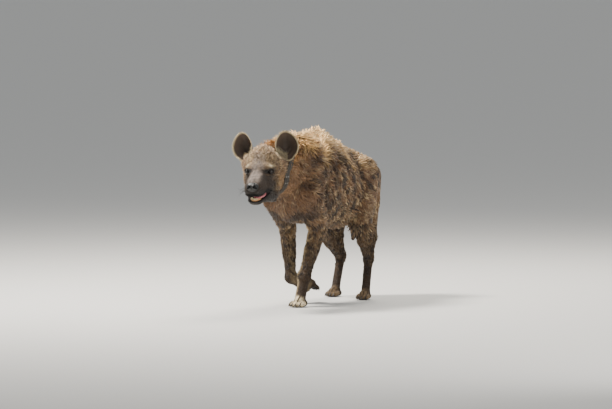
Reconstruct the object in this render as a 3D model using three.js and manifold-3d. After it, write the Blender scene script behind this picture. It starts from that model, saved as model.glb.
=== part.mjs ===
// A spotted hyena as a still, life-size model, walking with its right forepaw lifted.
// Millimetres, +Z up. The animal faces -Y, and its own left side is +X. The floor is z = 0.
// Flesh is described by overlapping rounded masses. Lofts follow their outer surface, are
// joined into one body, and the body is parted by thin cuts into the named pieces.

import * as THREE from 'three';
import { ParametricGeometry } from 'three/addons/geometries/ParametricGeometry.js';
import { mergeVertices } from 'three/addons/utils/BufferGeometryUtils.js';
import Module from 'manifold-3d';

const wasm = await Module();
wasm.setup();

const at = ( x, y, z ) => new THREE.Vector3( x, y, z );

// Driving dimensions

const partingGap = 0.3;        // left between pieces that meet
const clear = partingGap + 0.05;
const fleshSoftness = 46;      // how far neighbouring masses of the trunk run into each other
const limbSoftness = 14;
const faceSoftness = 20;

const headYaw = THREE.MathUtils.degToRad( 14 );   // turned towards the animal's left
const headPitch = THREE.MathUtils.degToRad( 0 );
const eyeLevel = at( 3, - 302, 632 );             // midpoint between the eyes
const eyeRadius = 14;
const eyeSpacing = 112;

const earHeight = 142;
const earWidth = 114;
const earDepth = 38;
const earWall = 5;

const strapWidth = 42;
const strapThickness = 4;
const strapPlace = - 148;      // the collar lies in this plane, just behind the cheeks

const toeRadius = 15;
const clawLength = 17;

// Joints of the limbs. The left forepaw and both hind paws are planted.

const forelegs = {
	left: {
		side: 1,
		blade: at( 62, 190, 700 ),
		shoulder: at( 94, 5, 505 ),
		elbow: at( 99, 92, 352 ),
		wrist: at( 60, 32, 136 ),
		paw: at( 54, 0, 0 ),
		planted: true,
	},
	right: {
		side: - 1,
		blade: at( - 62, 200, 700 ),
		shoulder: at( - 85, 36, 500 ),
		elbow: at( - 91, 158, 356 ),
		wrist: at( - 76, 166, 122 ),
		paw: at( - 38, 240, 74 ),
		planted: false,
	},
};

const hindlegs = {
	left: {
		side: 1,
		hip: at( 60, 620, 562 ),
		knee: at( 108, 512, 368 ),
		hock: at( 101, 604, 184 ),
		paw: at( 112, 538, 0 ),
	},
	right: {
		side: - 1,
		hip: at( - 60, 628, 560 ),
		knee: at( - 108, 532, 350 ),
		hock: at( - 97, 712, 180 ),
		paw: at( - 100, 650, 0 ),
	},
};

// Rounded masses: each is a function giving roughly the distance from a point to its surface

function ball( centre, radii ) {

	const scaled = at( 0, 0, 0 );
	return ( point ) => {

		scaled.copy( point ).sub( centre ).divide( radii );
		const near = scaled.length();
		const slope = scaled.divide( radii ).length();
		return near * ( near - 1 ) / Math.max( slope, 1e-6 );

	};

}

function limb( from, to, fromRadius, toRadius ) {

	const axis = to.clone().sub( from );
	const along = at( 0, 0, 0 );
	return ( point ) => {

		along.copy( point ).sub( from );
		const t = THREE.MathUtils.clamp( along.dot( axis ) / axis.lengthSq(), 0, 1 );
		return along.addScaledVector( axis, - t ).length() - THREE.MathUtils.lerp( fromRadius, toRadius, t );

	};

}

function blended( masses, softness ) {

	return ( point ) => masses.reduce( ( nearest, mass ) => {

		const other = mass( point );
		const h = THREE.MathUtils.clamp( 0.5 + 0.5 * ( other - nearest ) / softness, 0, 1 );
		return THREE.MathUtils.lerp( other, nearest, h ) - softness * h * ( 1 - h );

	}, 1e4 );

}

// Distance from a point inside a mass to its surface, in a given direction

function reachTo( mass, from, direction, limit = 420 ) {

	const probe = at( 0, 0, 0 );
	const outside = ( r ) => mass( probe.copy( from ).addScaledVector( direction, r ) ) > 0;
	const step = 6;
	let near = 0;
	while ( near < limit && ! outside( near + step ) ) near += step;
	let far = near + step;
	for ( let i = 0; i < 12; i ++ ) {

		const middle = ( near + far ) / 2;
		if ( outside( middle ) ) far = middle;
		else near = middle;

	}

	return near;

}

function outwardAt( mass, point ) {

	const e = 1.5;
	return at(
		mass( at( point.x + e, point.y, point.z ) ) - mass( at( point.x - e, point.y, point.z ) ),
		mass( at( point.x, point.y + e, point.z ) ) - mass( at( point.x, point.y - e, point.z ) ),
		mass( at( point.x, point.y, point.z + e ) ) - mass( at( point.x, point.y, point.z - e ) ),
	).normalize();

}

// Solids

function solidFrom( geometry, matrix ) {

	const bare = geometry.clone();
	bare.deleteAttribute( 'normal' );
	bare.deleteAttribute( 'uv' );
	if ( matrix ) bare.applyMatrix4( matrix );
	const merged = mergeVertices( bare, 1e-4 );
	const place = merged.attributes.position;
	const corner = ( i ) => new THREE.Vector3().fromBufferAttribute( place, i );
	const faces = [];
	let volume = 0;
	for ( let i = 0; i < merged.index.count; i += 3 ) {

		const [ a, b, c ] = [ 0, 1, 2 ].map( ( k ) => merged.index.getX( i + k ) );
		if ( a === b || b === c || c === a ) continue;
		faces.push( [ a, b, c ] );
		volume += corner( a ).dot( corner( b ).cross( corner( c ) ) );

	}

	if ( volume < 0 ) faces.forEach( ( face ) => face.reverse() );
	return new wasm.Manifold( new wasm.Mesh( {
		numProp: 3,
		vertProperties: new Float32Array( place.array ),
		triVerts: new Uint32Array( faces.flat() ),
	} ) );

}

function joined( solids ) {

	return solids.reduce( ( whole, solid ) => whole.add( solid ) );

}

function largest( solid ) {

	const loose = solid.decompose();
	return loose.reduce( ( most, piece ) => ( piece.volume() > most.volume() ? piece : most ) );

}

function geometryFrom( solid ) {

	const mesh = solid.getMesh();
	const geometry = new THREE.BufferGeometry();
	const places = new Float32Array( mesh.numVert * 3 );
	for ( let i = 0; i < mesh.numVert; i ++ ) {

		for ( let k = 0; k < 3; k ++ ) places[ 3 * i + k ] = mesh.vertProperties[ mesh.numProp * i + k ];

	}

	geometry.setAttribute( 'position', new THREE.BufferAttribute( places, 3 ) );
	geometry.setIndex( new THREE.BufferAttribute( new Uint32Array( mesh.triVerts ), 1 ) );
	return geometry;

}

// A closed surface from rings: place( turn, t ) gives a point, and both ends close on a point

function closedLoft( sides, stations, place ) {

	return solidFrom( new ParametricGeometry( ( u, v, target ) => {

		target.copy( place( u * Math.PI * 2, v ) );

	}, sides, stations ) );

}

// A loft along a spine whose rings reach out to the surface of a mass

function fleshLoft( { mass, spine, sides, stations, endReach = 200, crowd = 0.5 } ) {

	const up = at( 0, 0, 1 );
	const startTangent = spine.getTangent( 0 );
	const startPole = spine.getPoint( 0 ).addScaledVector(
		startTangent, - reachTo( mass, spine.getPoint( 0 ), startTangent.clone().negate(), endReach ) );
	const endTangent = spine.getTangent( 1 );
	const endPole = spine.getPoint( 1 ).addScaledVector(
		endTangent, reachTo( mass, spine.getPoint( 1 ), endTangent, endReach ) );
	const whole = new THREE.CatmullRomCurve3( [
		startPole, ...spine.getSpacedPoints( 12 ), endPole ], false, 'centripetal' );
	return closedLoft( sides, stations, ( turn, v ) => {

		if ( v < 1e-4 ) return startPole.clone();
		if ( v > 1 - 1e-4 ) return endPole.clone();
		const eased = THREE.MathUtils.lerp( v, ( 1 - Math.cos( v * Math.PI ) ) / 2, crowd );
		const centre = whole.getPointAt( eased );
		const tangent = whole.getTangentAt( eased );
		const reference = Math.abs( tangent.z ) > 0.8 ? at( 0, 1, 0 ) : up;
		const right = tangent.clone().cross( reference ).normalize();
		const over = right.clone().cross( tangent ).normalize();
		const ray = right.multiplyScalar( Math.cos( turn ) ).addScaledVector( over, Math.sin( turn ) );
		return centre.addScaledVector( ray, Math.max( 0.6, reachTo( mass, centre, ray ) ) );

	} );

}

function path( ...points ) {

	return new THREE.CatmullRomCurve3( points, false, 'centripetal' );

}

function ellipsoid( centre, radii, turn, wide = 10, high = 8 ) {

	const matrix = new THREE.Matrix4().compose(
		centre, turn || new THREE.Quaternion(), at( 1, 1, 1 ) );
	return solidFrom( new THREE.SphereGeometry( 1, wide, high ).scale( radii.x, radii.y, radii.z ), matrix );

}

// The head's own frame: origin between the eyes, -Y towards the nose, +X its left, +Z up

const headMatrix = new THREE.Matrix4()
	.makeTranslation( eyeLevel.x, eyeLevel.y, eyeLevel.z )
	.multiply( new THREE.Matrix4().makeRotationZ( headYaw ) );
const headTurn = new THREE.Quaternion().setFromRotationMatrix( headMatrix );
const onHead = ( x, y, z ) => at( x, y, z ).applyMatrix4( headMatrix );
const bothSides = ( make ) => [ 1, - 1 ].map( make );

const headMass = ( () => {

	const local = blended( [
		ball( at( 0, 84, 22 ), at( 70, 90, 74 ) ),
		ball( at( 0, 86, 50 ), at( 48, 80, 56 ) ),
		...bothSides( ( s ) => ball( at( 52 * s, 82, - 34 ), at( 45, 66, 72 ) ) ),
		...bothSides( ( s ) => ball( at( 72 * s, 106, 24 ), at( 34, 34, 42 ) ) ),
		...bothSides( ( s ) => ball( at( 45 * s, 32, - 20 ), at( 28, 50, 34 ) ) ),
		ball( at( 0, 8, 12 ), at( 63, 42, 33 ) ),
		limb( at( 0, 10, - 16 ), at( 0, - 106, - 58 ), 44, 34 ),
		ball( at( 0, - 58, - 54 ), at( 45, 58, 36 ) ),
		limb( at( 0, 40, - 78 ), at( 0, - 86, - 88 ), 40, 30 ),
		...bothSides( ( s ) => ball( at( 22 * s, - 82, - 78 ), at( 26, 54, 29 ) ) ),
		...bothSides( ( s ) => limb( at( 38 * s, 56, - 96 ), at( 14 * s, - 68, - 124 ), 32, 18 ) ),
		ball( at( 0, - 84, - 126 ), at( 28, 26, 20 ) ),
	], faceSoftness );
	const inverse = headMatrix.clone().invert();
	const probe = at( 0, 0, 0 );
	return ( point ) => local( probe.copy( point ).applyMatrix4( inverse ) );

} )();

const headSpine = path(
	onHead( 0, 110, 12 ),
	onHead( 0, 10, - 34 ),
	onHead( 0, - 60, - 66 ),
	onHead( 0, - 100, - 84 ),
);

function makeHeadFlesh( growth = 0 ) {

	const mass = ( point ) => headMass( point ) - growth;
	return fleshLoft( { mass, spine: headSpine, sides: 24, stations: 20 } );

}

// Trunk and neck

const shoulderMasses = Object.values( forelegs ).flatMap( ( leg ) => [
	limb( leg.blade, leg.shoulder, 42, 46 ),
	limb( leg.shoulder, leg.shoulder.clone().lerp( leg.elbow, 0.7 ), 52, 42 ),
] );
const haunchMasses = Object.values( hindlegs ).flatMap( ( leg ) => [
	limb( leg.hip, leg.hip.clone().lerp( leg.knee, 0.7 ), 78, 62 ),
	limb( leg.hip.clone().add( at( 0, 44, 0 ) ), leg.hip.clone().add( at( 24 * leg.side, 26, - 120 ) ), 56, 50 ),
] );

const trunkMass = blended( [
	ball( at( 0, 92, 560 ), at( 100, 162, 182 ) ),
	ball( at( 0, 262, 550 ), at( 138, 262, 190 ) ),
	ball( at( 0, 436, 500 ), at( 128, 200, 154 ) ),
	ball( at( 0, 606, 546 ), at( 108, 124, 112 ) ),
	limb( at( 0, 60, 710 ), at( 0, 240, 722 ), 46, 54 ),
	limb( at( 0, 240, 714 ), at( 0, 590, 630 ), 56, 50 ),
	limb( at( 0, 70, 672 ), at( - 26, - 170, 655 ), 90, 66 ),
	limb( at( 0, 44, 580 ), at( - 24, - 170, 602 ), 84, 76 ),
	ball( at( 0, 16, 484 ), at( 70, 50, 82 ) ),
	...shoulderMasses,
	...haunchMasses,
], fleshSoftness );

const trunkSpine = path(
	at( 0, 632, 548 ),
	at( 0, 450, 540 ),
	at( 0, 270, 555 ),
	at( 0, 110, 585 ),
	at( - 4, - 20, 612 ),
	at( - 20, - 120, 628 ),
	at( - 27, - 180, 634 ),
);

function makeTrunk( growth = 0 ) {

	const mass = ( point ) => trunkMass( point ) - growth;
	return fleshLoft( { mass, spine: trunkSpine, sides: 24, stations: 26 } );

}

// Legs

function makeForelegFlesh( leg ) {

	const knuckle = leg.planted ? leg.paw.clone().add( at( 0, 2, 34 ) ) : leg.paw;
	const stout = leg.planted ? 1 : 0.92;
	const mass = blended( [
		limb( leg.shoulder, leg.elbow, 48, 38 ),
		limb( leg.elbow, leg.wrist, 36 * stout, 28 * stout ),
		limb( leg.elbow.clone().lerp( leg.wrist, 0.1 ), leg.elbow.clone().lerp( leg.wrist, 0.55 ), 36 * stout, 28 ),
		limb( leg.elbow, leg.elbow.clone().add( at( 0, 26, 16 ) ), 28, 20 ),
		ball( leg.wrist, at( 33, 33, 34 ).multiplyScalar( stout ) ),
		limb( leg.wrist, knuckle, 26, 27 ),
	], limbSoftness );
	const spine = path(
		leg.shoulder.clone().lerp( leg.elbow, 0.25 ),
		leg.elbow.clone().lerp( leg.shoulder, 0.15 ),
		leg.elbow.clone().lerp( leg.wrist, 0.3 ),
		leg.wrist,
		knuckle,
	);
	return fleshLoft( { mass, spine, sides: 12, stations: 16, crowd: 0.2 } );

}

function makeHindlegFlesh( leg, growth = 0 ) {

	const knuckle = leg.paw.clone().add( at( 0, 12, 30 ) );
	const calf = leg.knee.clone().lerp( leg.hock, 0.5 ).add( at( 0, 40, 16 ) );
	const mass = blended( [
		limb( leg.hip, leg.knee, 76, 48 ),
		limb( leg.knee, leg.hock, 46, 22 ),
		limb( leg.hip.clone().add( at( 0, 58, 0 ) ), calf, 60, 38 ),
		limb( calf, leg.hock.clone().add( at( 0, 6, 12 ) ), 38, 20 ),
		limb( leg.knee.clone().lerp( leg.hip, 0.3 ), leg.knee.clone().lerp( leg.hock, 0.5 ), 56, 34 ),
		limb( leg.hock, leg.hock.clone().add( at( 0, 18, 16 ) ), 21, 16 ),
		limb( leg.hock, knuckle, 21, 21 ),
	], limbSoftness );
	const grown = ( point ) => mass( point ) - growth;
	const spine = path(
		leg.hip.clone().lerp( leg.knee, 0.3 ).add( at( 0, 16, 0 ) ),
		leg.knee.clone().lerp( leg.hip, 0.2 ).add( at( 0, 26, 0 ) ),
		leg.knee.clone().lerp( leg.hock, 0.45 ).add( at( 0, 8, 0 ) ),
		leg.hock,
		knuckle,
	);
	return fleshLoft( { mass: grown, spine, sides: 12, stations: 18, crowd: 0.2 } );

}

// A paw: a heel pad, four toes side by side and their blunt claws

const forepawSize = { spread: 76, length: 90 };
const hindpawSize = { spread: 60, length: 84 };

function makePaw( { centre, heading, spread, length } ) {

	const forward = heading.clone().normalize();
	const side = at( 0, 0, 1 ).cross( forward ).normalize();
	const upward = forward.clone().cross( side ).normalize();
	const turn = new THREE.Quaternion().setFromRotationMatrix(
		new THREE.Matrix4().makeBasis( side.clone().negate(), forward.clone().negate(), upward ) );
	const spot = ( x, y, z ) => centre.clone()
		.addScaledVector( side, x ).addScaledVector( forward, y ).addScaledVector( upward, z );
	const pieces = [
		ellipsoid( spot( 0, - length * 0.24, 13 ), at( spread * 0.4, length * 0.32, 18 ), turn, 8, 5 ),
		ellipsoid( spot( 0, - length * 0.02, 26 ), at( spread * 0.42, length * 0.38, 24 ), turn, 8, 5 ),
	];
	for ( let toe = 0; toe < 4; toe ++ ) {

		const across = ( toe - 1.5 ) / 1.5;
		const x = across * spread * 0.37;
		const y = length * ( 0.34 - 0.12 * across * across );
		const fan = new THREE.Quaternion().setFromAxisAngle( upward, across * 0.14 ).multiply( turn );
		const pad = ellipsoid( spot( x, y, 14 ), at( toeRadius * 0.82, length * 0.25, 15.5 ), fan, 6, 4 );
		const claw = solidFrom(
			new THREE.ConeGeometry( 4, clawLength, 4 ).rotateX( - Math.PI / 2 - 0.35 ),
			new THREE.Matrix4().compose( spot( x * 1.02, y + length * 0.25, 12 ), fan, at( 1, 1, 1 ) ) );
		pieces.push( pad, claw );

	}

	return joined( pieces );

}

function makeForepaw( leg ) {

	const heading = leg.planted ? at( - 0.06, - 1, 0 ) : leg.paw.clone().sub( leg.wrist ).add( at( 0, 0, 16 ) );
	const centre = leg.planted ? leg.paw.clone().add( at( 0, - 6, 0 ) )
		: leg.paw.clone().addScaledVector( heading.clone().normalize(), 14 );
	return makePaw( { centre, heading, ...forepawSize } );

}

function makeHindpaw( leg ) {

	return makePaw( { centre: leg.paw, heading: at( 0.08 * leg.side, - 1, 0 ), ...hindpawSize } );

}

// Ears: a rounded cup on a short root, its hollow facing forwards and outwards

const earMiddle = ( s ) => onHead( 101 * s, 112, 102 );
const earTurn = ( s ) => {

	const facing = at( 0.34 * s, - 0.94, 0.04 ).normalize().applyQuaternion( headTurn );
	const standing = at( 0.14 * s, 0.08, 0.98 ).normalize().applyQuaternion( headTurn );
	const across = standing.clone().cross( facing ).normalize();
	return { across, upward: facing.clone().cross( across ).normalize(), facing };

};

function makeEar( s ) {

	const middle = earMiddle( s );
	const { across, upward, facing } = earTurn( s );
	return closedLoft( 16, 6, ( turn, v ) => {

		const inner = v < 0.5;
		const r = Math.min( 1, inner ? v * 2 : ( 1 - v ) * 2 );
		const high = Math.sin( turn );
		const wide = Math.cos( turn ) * ( 1 - 0.2 * Math.max( 0, - high ) ** 2 - 0.14 * Math.max( 0, high ) ** 1.5 );
		const hollow = earDepth * ( 1 - r * r ) * ( 1 - 0.25 * high * r );
		const back = inner ? 0 : earWall * ( 0.5 + 0.9 * ( 1 - r * r ) );
		const curl = 10 * r * r * Math.cos( turn ) ** 2;
		return middle.clone()
			.addScaledVector( across, wide * r * earWidth / 2 )
			.addScaledVector( upward, high * r * earHeight / 2 )
			.addScaledVector( facing, curl - hollow - back );

	} );

}

function makeEarRoot( s, growth = 0 ) {

	const inner = onHead( 60 * s, 98, 10 );
	const outer = onHead( 99 * s, 144, 58 );
	return fleshLoft( {
		mass: limb( inner, outer, 34 + growth, 25 + growth ),
		spine: path( inner, inner.clone().lerp( outer, 0.5 ), outer ),
		sides: 10,
		stations: 7,
	} );

}

// The room an ear takes, which no lock grows into

function makeEarRoom( s ) {

	const { across, upward, facing } = earTurn( s );
	const turn = new THREE.Quaternion().setFromRotationMatrix(
		new THREE.Matrix4().makeBasis( across, upward, facing ) );
	const centre = earMiddle( s ).addScaledVector( facing, - earDepth * 0.4 );
	const radii = at( earWidth / 2 + 4, earHeight / 2 + 4, earDepth );
	return ellipsoid( centre, radii, turn ).add( makeEarRoot( s, 4 ) );

}

// Face

const eyes = Object.fromEntries( bothSides( ( s ) => {

	const from = onHead( 22 * s, 46, - 6 );
	const gaze = onHead( ( eyeSpacing / 2 ) * s, - 8, 1 ).sub( from ).normalize();
	const surface = reachTo( headMass, from, gaze );
	const centre = from.clone().addScaledVector( gaze, surface - eyeRadius * 0.62 );
	return [ s > 0 ? 'left' : 'right', { side: s, centre, gaze } ];

} ) );

const lidThickness = 4.5;
const lidOpening = { wide: 15, high: 8.5 };

function eyeTurn( eye ) {

	const across = at( 0, 0, 1 ).cross( eye.gaze ).normalize();
	const upward = eye.gaze.clone().cross( across ).normalize();
	return new THREE.Quaternion().setFromRotationMatrix(
		new THREE.Matrix4().makeBasis( across, upward, eye.gaze ) );

}

function makeEyeball( eye, growth = 0 ) {

	const r = eyeRadius + growth;
	return ellipsoid( eye.centre, at( r, r, r ), eyeTurn( eye ), 10, 7 );

}

// The lids ring the eyeball and leave an almond-shaped opening in front of it

function makeLids( eye ) {

	const r = eyeRadius + lidThickness;
	return ellipsoid( eye.centre, at( r * 1.15, r * 0.98, r ), eyeTurn( eye ), 10, 7 );

}

function makeLidOpening( eye ) {

	const front = eye.centre.clone().addScaledVector( eye.gaze, eyeRadius * 0.9 );
	return ellipsoid( front, at( lidOpening.wide, lidOpening.high, eyeRadius * 0.9 ), eyeTurn( eye ), 10, 5 );

}

const noseCentre = at( 0, - 131, - 60 );
const noseRadii = at( 28, 18, 25 );

function makeNose( growth = 0 ) {

	const radii = noseRadii.clone().addScalar( growth );
	return ellipsoid( onHead( noseCentre.x, noseCentre.y, noseCentre.z ), radii, headTurn, 12, 8 );

}

function makeNostrils() {

	return joined( bothSides( ( s ) => {

		const hole = ellipsoid( onHead( 12.5 * s, - 147, - 58 ), at( 6, 9, 7 ), headTurn, 6, 5 );
		const slit = ellipsoid( onHead( 21 * s, - 142, - 64 ), at( 7, 8, 3 ), headTurn, 6, 4 );
		return hole.add( slit );

	} ) );

}

// The mouth is a wedge between the upper lip line and the lower one. Both start at the corner.

const mouthCorner = { y: - 26, z: - 86 };
const mouthFront = { y: - 172, upper: - 122, lower: - 146 };
const jawHinge = { y: 56, z: - 196 };

const lipLevel = ( y, edge ) => THREE.MathUtils.mapLinear(
	y, mouthCorner.y, mouthFront.y, mouthCorner.z, mouthFront[ edge ] );

// A prism across the head from its outline seen from the side

function sidePrism( outline ) {

	const shape = new THREE.Shape( outline.map( ( [ y, z ] ) => new THREE.Vector2( y, z ) ) );
	const across = 320;
	const sideways = new THREE.Matrix4().makeBasis( at( 0, 1, 0 ), at( 0, 0, 1 ), at( 1, 0, 0 ) );
	sideways.setPosition( - across / 2, 0, 0 );
	const prism = new THREE.ExtrudeGeometry( shape, { depth: across, bevelEnabled: false } );
	return solidFrom( prism, headMatrix.clone().multiply( sideways ) );

}

function jawOutline( edge, gap ) {

	return [
		[ mouthCorner.y + gap, mouthCorner.z + gap ],
		[ mouthFront.y, mouthFront[ edge ] + gap ],
		[ mouthFront.y, - 240 ],
		[ jawHinge.y + gap, - 240 ],
		[ jawHinge.y + gap, jawHinge.z + gap ],
	];

}

// The rim of a lip, from one corner of the mouth round the front to the other

function lipCurve( edge, lift, inset ) {

	const points = [];
	for ( let i = 0; i <= 12; i ++ ) {

		const turn = THREE.MathUtils.lerp( - 1, 1, i / 12 );
		const bend = THREE.MathUtils.clamp( Math.abs( turn ) * 2 - 1, 0, 1 );
		const y = - 84 + bend * ( mouthCorner.y + 84 );
		const swing = Math.min( 1, Math.abs( turn ) * 2 ) * Math.PI / 2 * Math.sign( turn );
		const ray = at( Math.sin( swing ), - Math.cos( swing ), 0 ).applyQuaternion( headTurn );
		const guess = lipLevel( y, edge );
		const reach = reachTo( headMass, onHead( 0, y, guess ), ray ) - inset;
		const spot = onHead( 0, y, guess ).addScaledVector( ray, reach );
		const local = spot.clone().applyMatrix4( headMatrix.clone().invert() );
		points.push( onHead( local.x, local.y, lipLevel( local.y, edge ) + lift ) );

	}

	return new THREE.CatmullRomCurve3( points );

}

function tubeAlong( curve, radius, sides, stations ) {

	return closedLoft( sides, stations, ( turn, v ) => {

		const centre = curve.getPoint( v );
		const tangent = curve.getTangent( v );
		const right = tangent.clone().cross( at( 0, 0, 1 ) ).normalize();
		const over = right.clone().cross( tangent ).normalize();
		const thick = radius * Math.min( 1, Math.sin( v * Math.PI ) * 3 );
		return centre.addScaledVector( right, Math.cos( turn ) * thick ).addScaledVector( over, Math.sin( turn ) * thick );

	} );

}

const upperLip = lipCurve( 'upper', 3.5, 2 );
const lowerLip = lipCurve( 'lower', - 3.5, 2 );
const gumLine = new THREE.CatmullRomCurve3( [ - 1, - 0.6, - 0.2, 0.2, 0.6, 1 ].map( ( turn ) => {

	const y = - 98 + 30 * turn * turn;
	return onHead( 20 * turn, y, lipLevel( y, 'lower' ) + 1 );

} ) );

function makeGum( growth = 0 ) {

	return tubeAlong( gumLine, 5 + growth, 6, 10 );

}

// Lower teeth: six small incisors between two canines

function makeLowerTeeth() {

	const teeth = [];
	for ( let i = 0; i < 8; i ++ ) {

		const canine = i === 0 || i === 7;
		const v = canine ? 0.28 + 0.44 * ( i / 7 ) : 0.36 + 0.28 * ( ( i - 1 ) / 5 );
		const height = canine ? 7 : 5;
		const root = gumLine.getPoint( v );
		teeth.push( solidFrom(
			new THREE.ConeGeometry( canine ? 4.4 : 2.6, height, 5 ).rotateX( Math.PI / 2 ),
			new THREE.Matrix4().makeTranslation( root.x, root.y, root.z + height / 2 + 2 ) ) );

	}

	return makeGum().add( joined( teeth ) );

}

function makeTongue( growth = 0 ) {

	const tilt = new THREE.Quaternion().setFromAxisAngle( at( 1, 0, 0 ), 0.2 );
	return ellipsoid( onHead( 0, - 54, - 94 ), at( 17, 38, 6.5 ).addScalar( growth ),
		headTurn.clone().multiply( tilt ), 12, 8 );

}

// Tail: a thin dock hanging behind the thighs, ending in a brush

const tailSpine = path(
	at( 0, 676, 600 ),
	at( 0, 744, 592 ),
	at( 0, 778, 545 ),
	at( 0, 786, 480 ),
	at( 0, 782, 400 ),
	at( 0, 772, 340 ),
);

function makeTailDock( growth = 0 ) {

	return closedLoft( 10, 14, ( turn, v ) => {

		const centre = tailSpine.getPoint( v );
		const tangent = tailSpine.getTangent( v );
		const right = at( 1, 0, 0 );
		const over = right.clone().cross( tangent ).normalize();
		const swell = 1 + 0.35 * Math.exp( - 25 * ( v - 0.72 ) ** 2 );
		const close = Math.min( 1, Math.sqrt( Math.max( 0, ( 1 - v ) * 8 ) ) ) * Math.min( 1, v * 30 );
		const r = ( THREE.MathUtils.lerp( 24, 12, v ) * swell + growth ) * close;
		return centre.addScaledVector( right, Math.cos( turn ) * r ).addScaledVector( over, Math.sin( turn ) * r );

	} );

}

// Collar: a strap round the neck behind the cheeks, and a plain housing under the throat

const strapCentre = at( - 24, strapPlace, 626 );
const strapClearance = 3;

function strapRadius( turn, growth ) {

	const ray = at( Math.cos( turn ), 0, Math.sin( turn ) );
	const flesh = ( point ) => Math.min( trunkMass( point ), headMass( point ) );
	const stations = [ - 0.5, 0, 0.5 ].map( ( part ) => strapCentre.clone().add( at( 0, strapWidth * part, 0 ) ) );
	return Math.max( ...stations.map( ( centre ) => reachTo( flesh, centre, ray ) ) ) + strapClearance + growth;

}

function makeStrap( growth = 0 ) {

	const corners = [ [ 1, 1 ], [ - 1, 1 ], [ - 1, - 1 ], [ 1, - 1 ] ];
	return solidFrom( new ParametricGeometry( ( u, v, target ) => {

		const turn = u * Math.PI * 2;
		const [ wide, thick ] = corners[ Math.round( v * 4 ) % 4 ];
		const r = strapRadius( turn, strapThickness / 2 + thick * ( strapThickness / 2 + growth ) );
		target.set( Math.cos( turn ) * r, wide * ( strapWidth / 2 + growth ), Math.sin( turn ) * r ).add( strapCentre );

	}, 28, 4 ) );

}

// The whole disc inside the strap, which the roots of the ears stay out of

function makeStrapDisc() {

	return closedLoft( 28, 3, ( turn, v ) => {

		const rim = v > 0.1 && v < 0.9;
		const r = rim ? strapRadius( turn, strapThickness + clear ) : 0;
		const along = ( v < 0.5 ? - 1 : 1 ) * ( strapWidth / 2 + clear );
		return at( Math.cos( turn ) * r, along, Math.sin( turn ) * r ).add( strapCentre );

	} );

}

const housingSize = { wide: 54, long: 44, high: 26, round: 4 };

function makeHousing() {

	const { wide, long, high, round } = housingSize;
	const shape = new THREE.Shape( [ [ - 1, - 1 ], [ 1, - 1 ], [ 1, 1 ], [ - 1, 1 ] ].map( ( [ x, y ] ) =>
		new THREE.Vector2( x * ( wide / 2 - round ), y * ( long / 2 - round ) ) ) );
	const depth = high - 2 * round;
	const shell = new THREE.ExtrudeGeometry( shape, {
		depth, bevelThickness: round, bevelSize: round, bevelSegments: 2 } );
	const low = strapRadius( - Math.PI / 2, strapThickness );
	const centre = strapCentre.clone().add( at( 0, 0, - low - partingGap - high + round ) );
	return solidFrom( shell, new THREE.Matrix4().makeTranslation( centre.x, centre.y, centre.z ) );

}

// A pair of teats hanging between the thighs, the left one the lower

const teatRadius = 9;
const teatPlace = { x: 38, y: 566, top: 380, leftLow: 272, rightLow: 304 };

function makeTeats() {

	return joined( bothSides( ( s ) => {

		const top = at( teatPlace.x * s, teatPlace.y, teatPlace.top );
		const tip = at( teatPlace.x * s, teatPlace.y + 4, s > 0 ? teatPlace.leftLow : teatPlace.rightLow );
		return fleshLoft( {
			mass: limb( top, tip, teatRadius * 1.5, teatRadius ),
			spine: path( top, top.clone().lerp( tip, 0.5 ), tip ),
			sides: 7,
			stations: 6,
		} );

	} ) );

}

// Locks of the coat: flat, tapered and three-sided, rooted under the surface they grow from

function seededDraw( seed ) {

	let state = seed;
	return ( low, high ) => {

		state = ( state * 1664525 + 1013904223 ) % 4294967296;
		return low + ( high - low ) * state / 4294967296;

	};

}

function makeLock( { mass, root, lie, stand, length, width, thickness } ) {

	const normal = outwardAt( mass, root );
	const flat = lie.clone().addScaledVector( normal, - lie.dot( normal ) ).normalize();
	const across = flat.clone().cross( normal ).normalize();
	const sunk = thickness * 2;
	const lyingAt = ( t ) => {

		const spot = root.clone().addScaledVector( flat, length * t );
		for ( let i = 0; i < 2; i ++ ) spot.addScaledVector( outwardAt( mass, spot ), - mass( spot ) );
		return spot.addScaledVector( outwardAt( mass, spot ), thickness * ( 0.5 + 1.1 * t ) );

	};

	const standingAt = ( t ) => root.clone()
		.addScaledVector( normal, length * t * 0.86 )
		.addScaledVector( flat, length * t * ( 0.3 + 0.35 * t ) );
	return closedLoft( 3, 4, ( turn, v ) => {

		const t = v;
		const centre = lyingAt( t ).lerp( standingAt( t ), stand ).addScaledVector( normal, - sunk * ( 1 - t ) ** 2 );
		const full = Math.sin( Math.min( 1, v * 2.6 + 0.25 ) * Math.PI / 2 ) * Math.sqrt( Math.max( 0, 1 - v ) );
		const rim = v < 1e-4 ? 0 : full;
		return centre
			.addScaledVector( across, Math.cos( turn + Math.PI / 2 ) * width * 0.58 * rim )
			.addScaledVector( normal, Math.sin( turn + Math.PI / 2 ) * thickness * 0.8 * rim );

	} );

}

// The mane leans forwards on the neck and withers. Behind them the coat lies back and down.

const coatRows = { first: - 72, last: 664, step: 64 };
const coatAngles = [ 0, 24, 50, 80 ];        // away from the ridge of the back, in degrees
const crestRows = { first: - 108, last: 170, step: 34 };
const crestAngles = [ - 15, 0, 15 ];
const maneEnd = 150;
const coatCore = 575;                        // height of the line the coat is measured from

function rootOn( y, turn ) {

	const centre = at( y < 0 ? y * 0.16 : 0, y, coatCore );
	const ray = at( Math.sin( turn ), 0, Math.cos( turn ) );
	return centre.addScaledVector( ray, reachTo( trunkMass, centre, ray ) );

}

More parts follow.
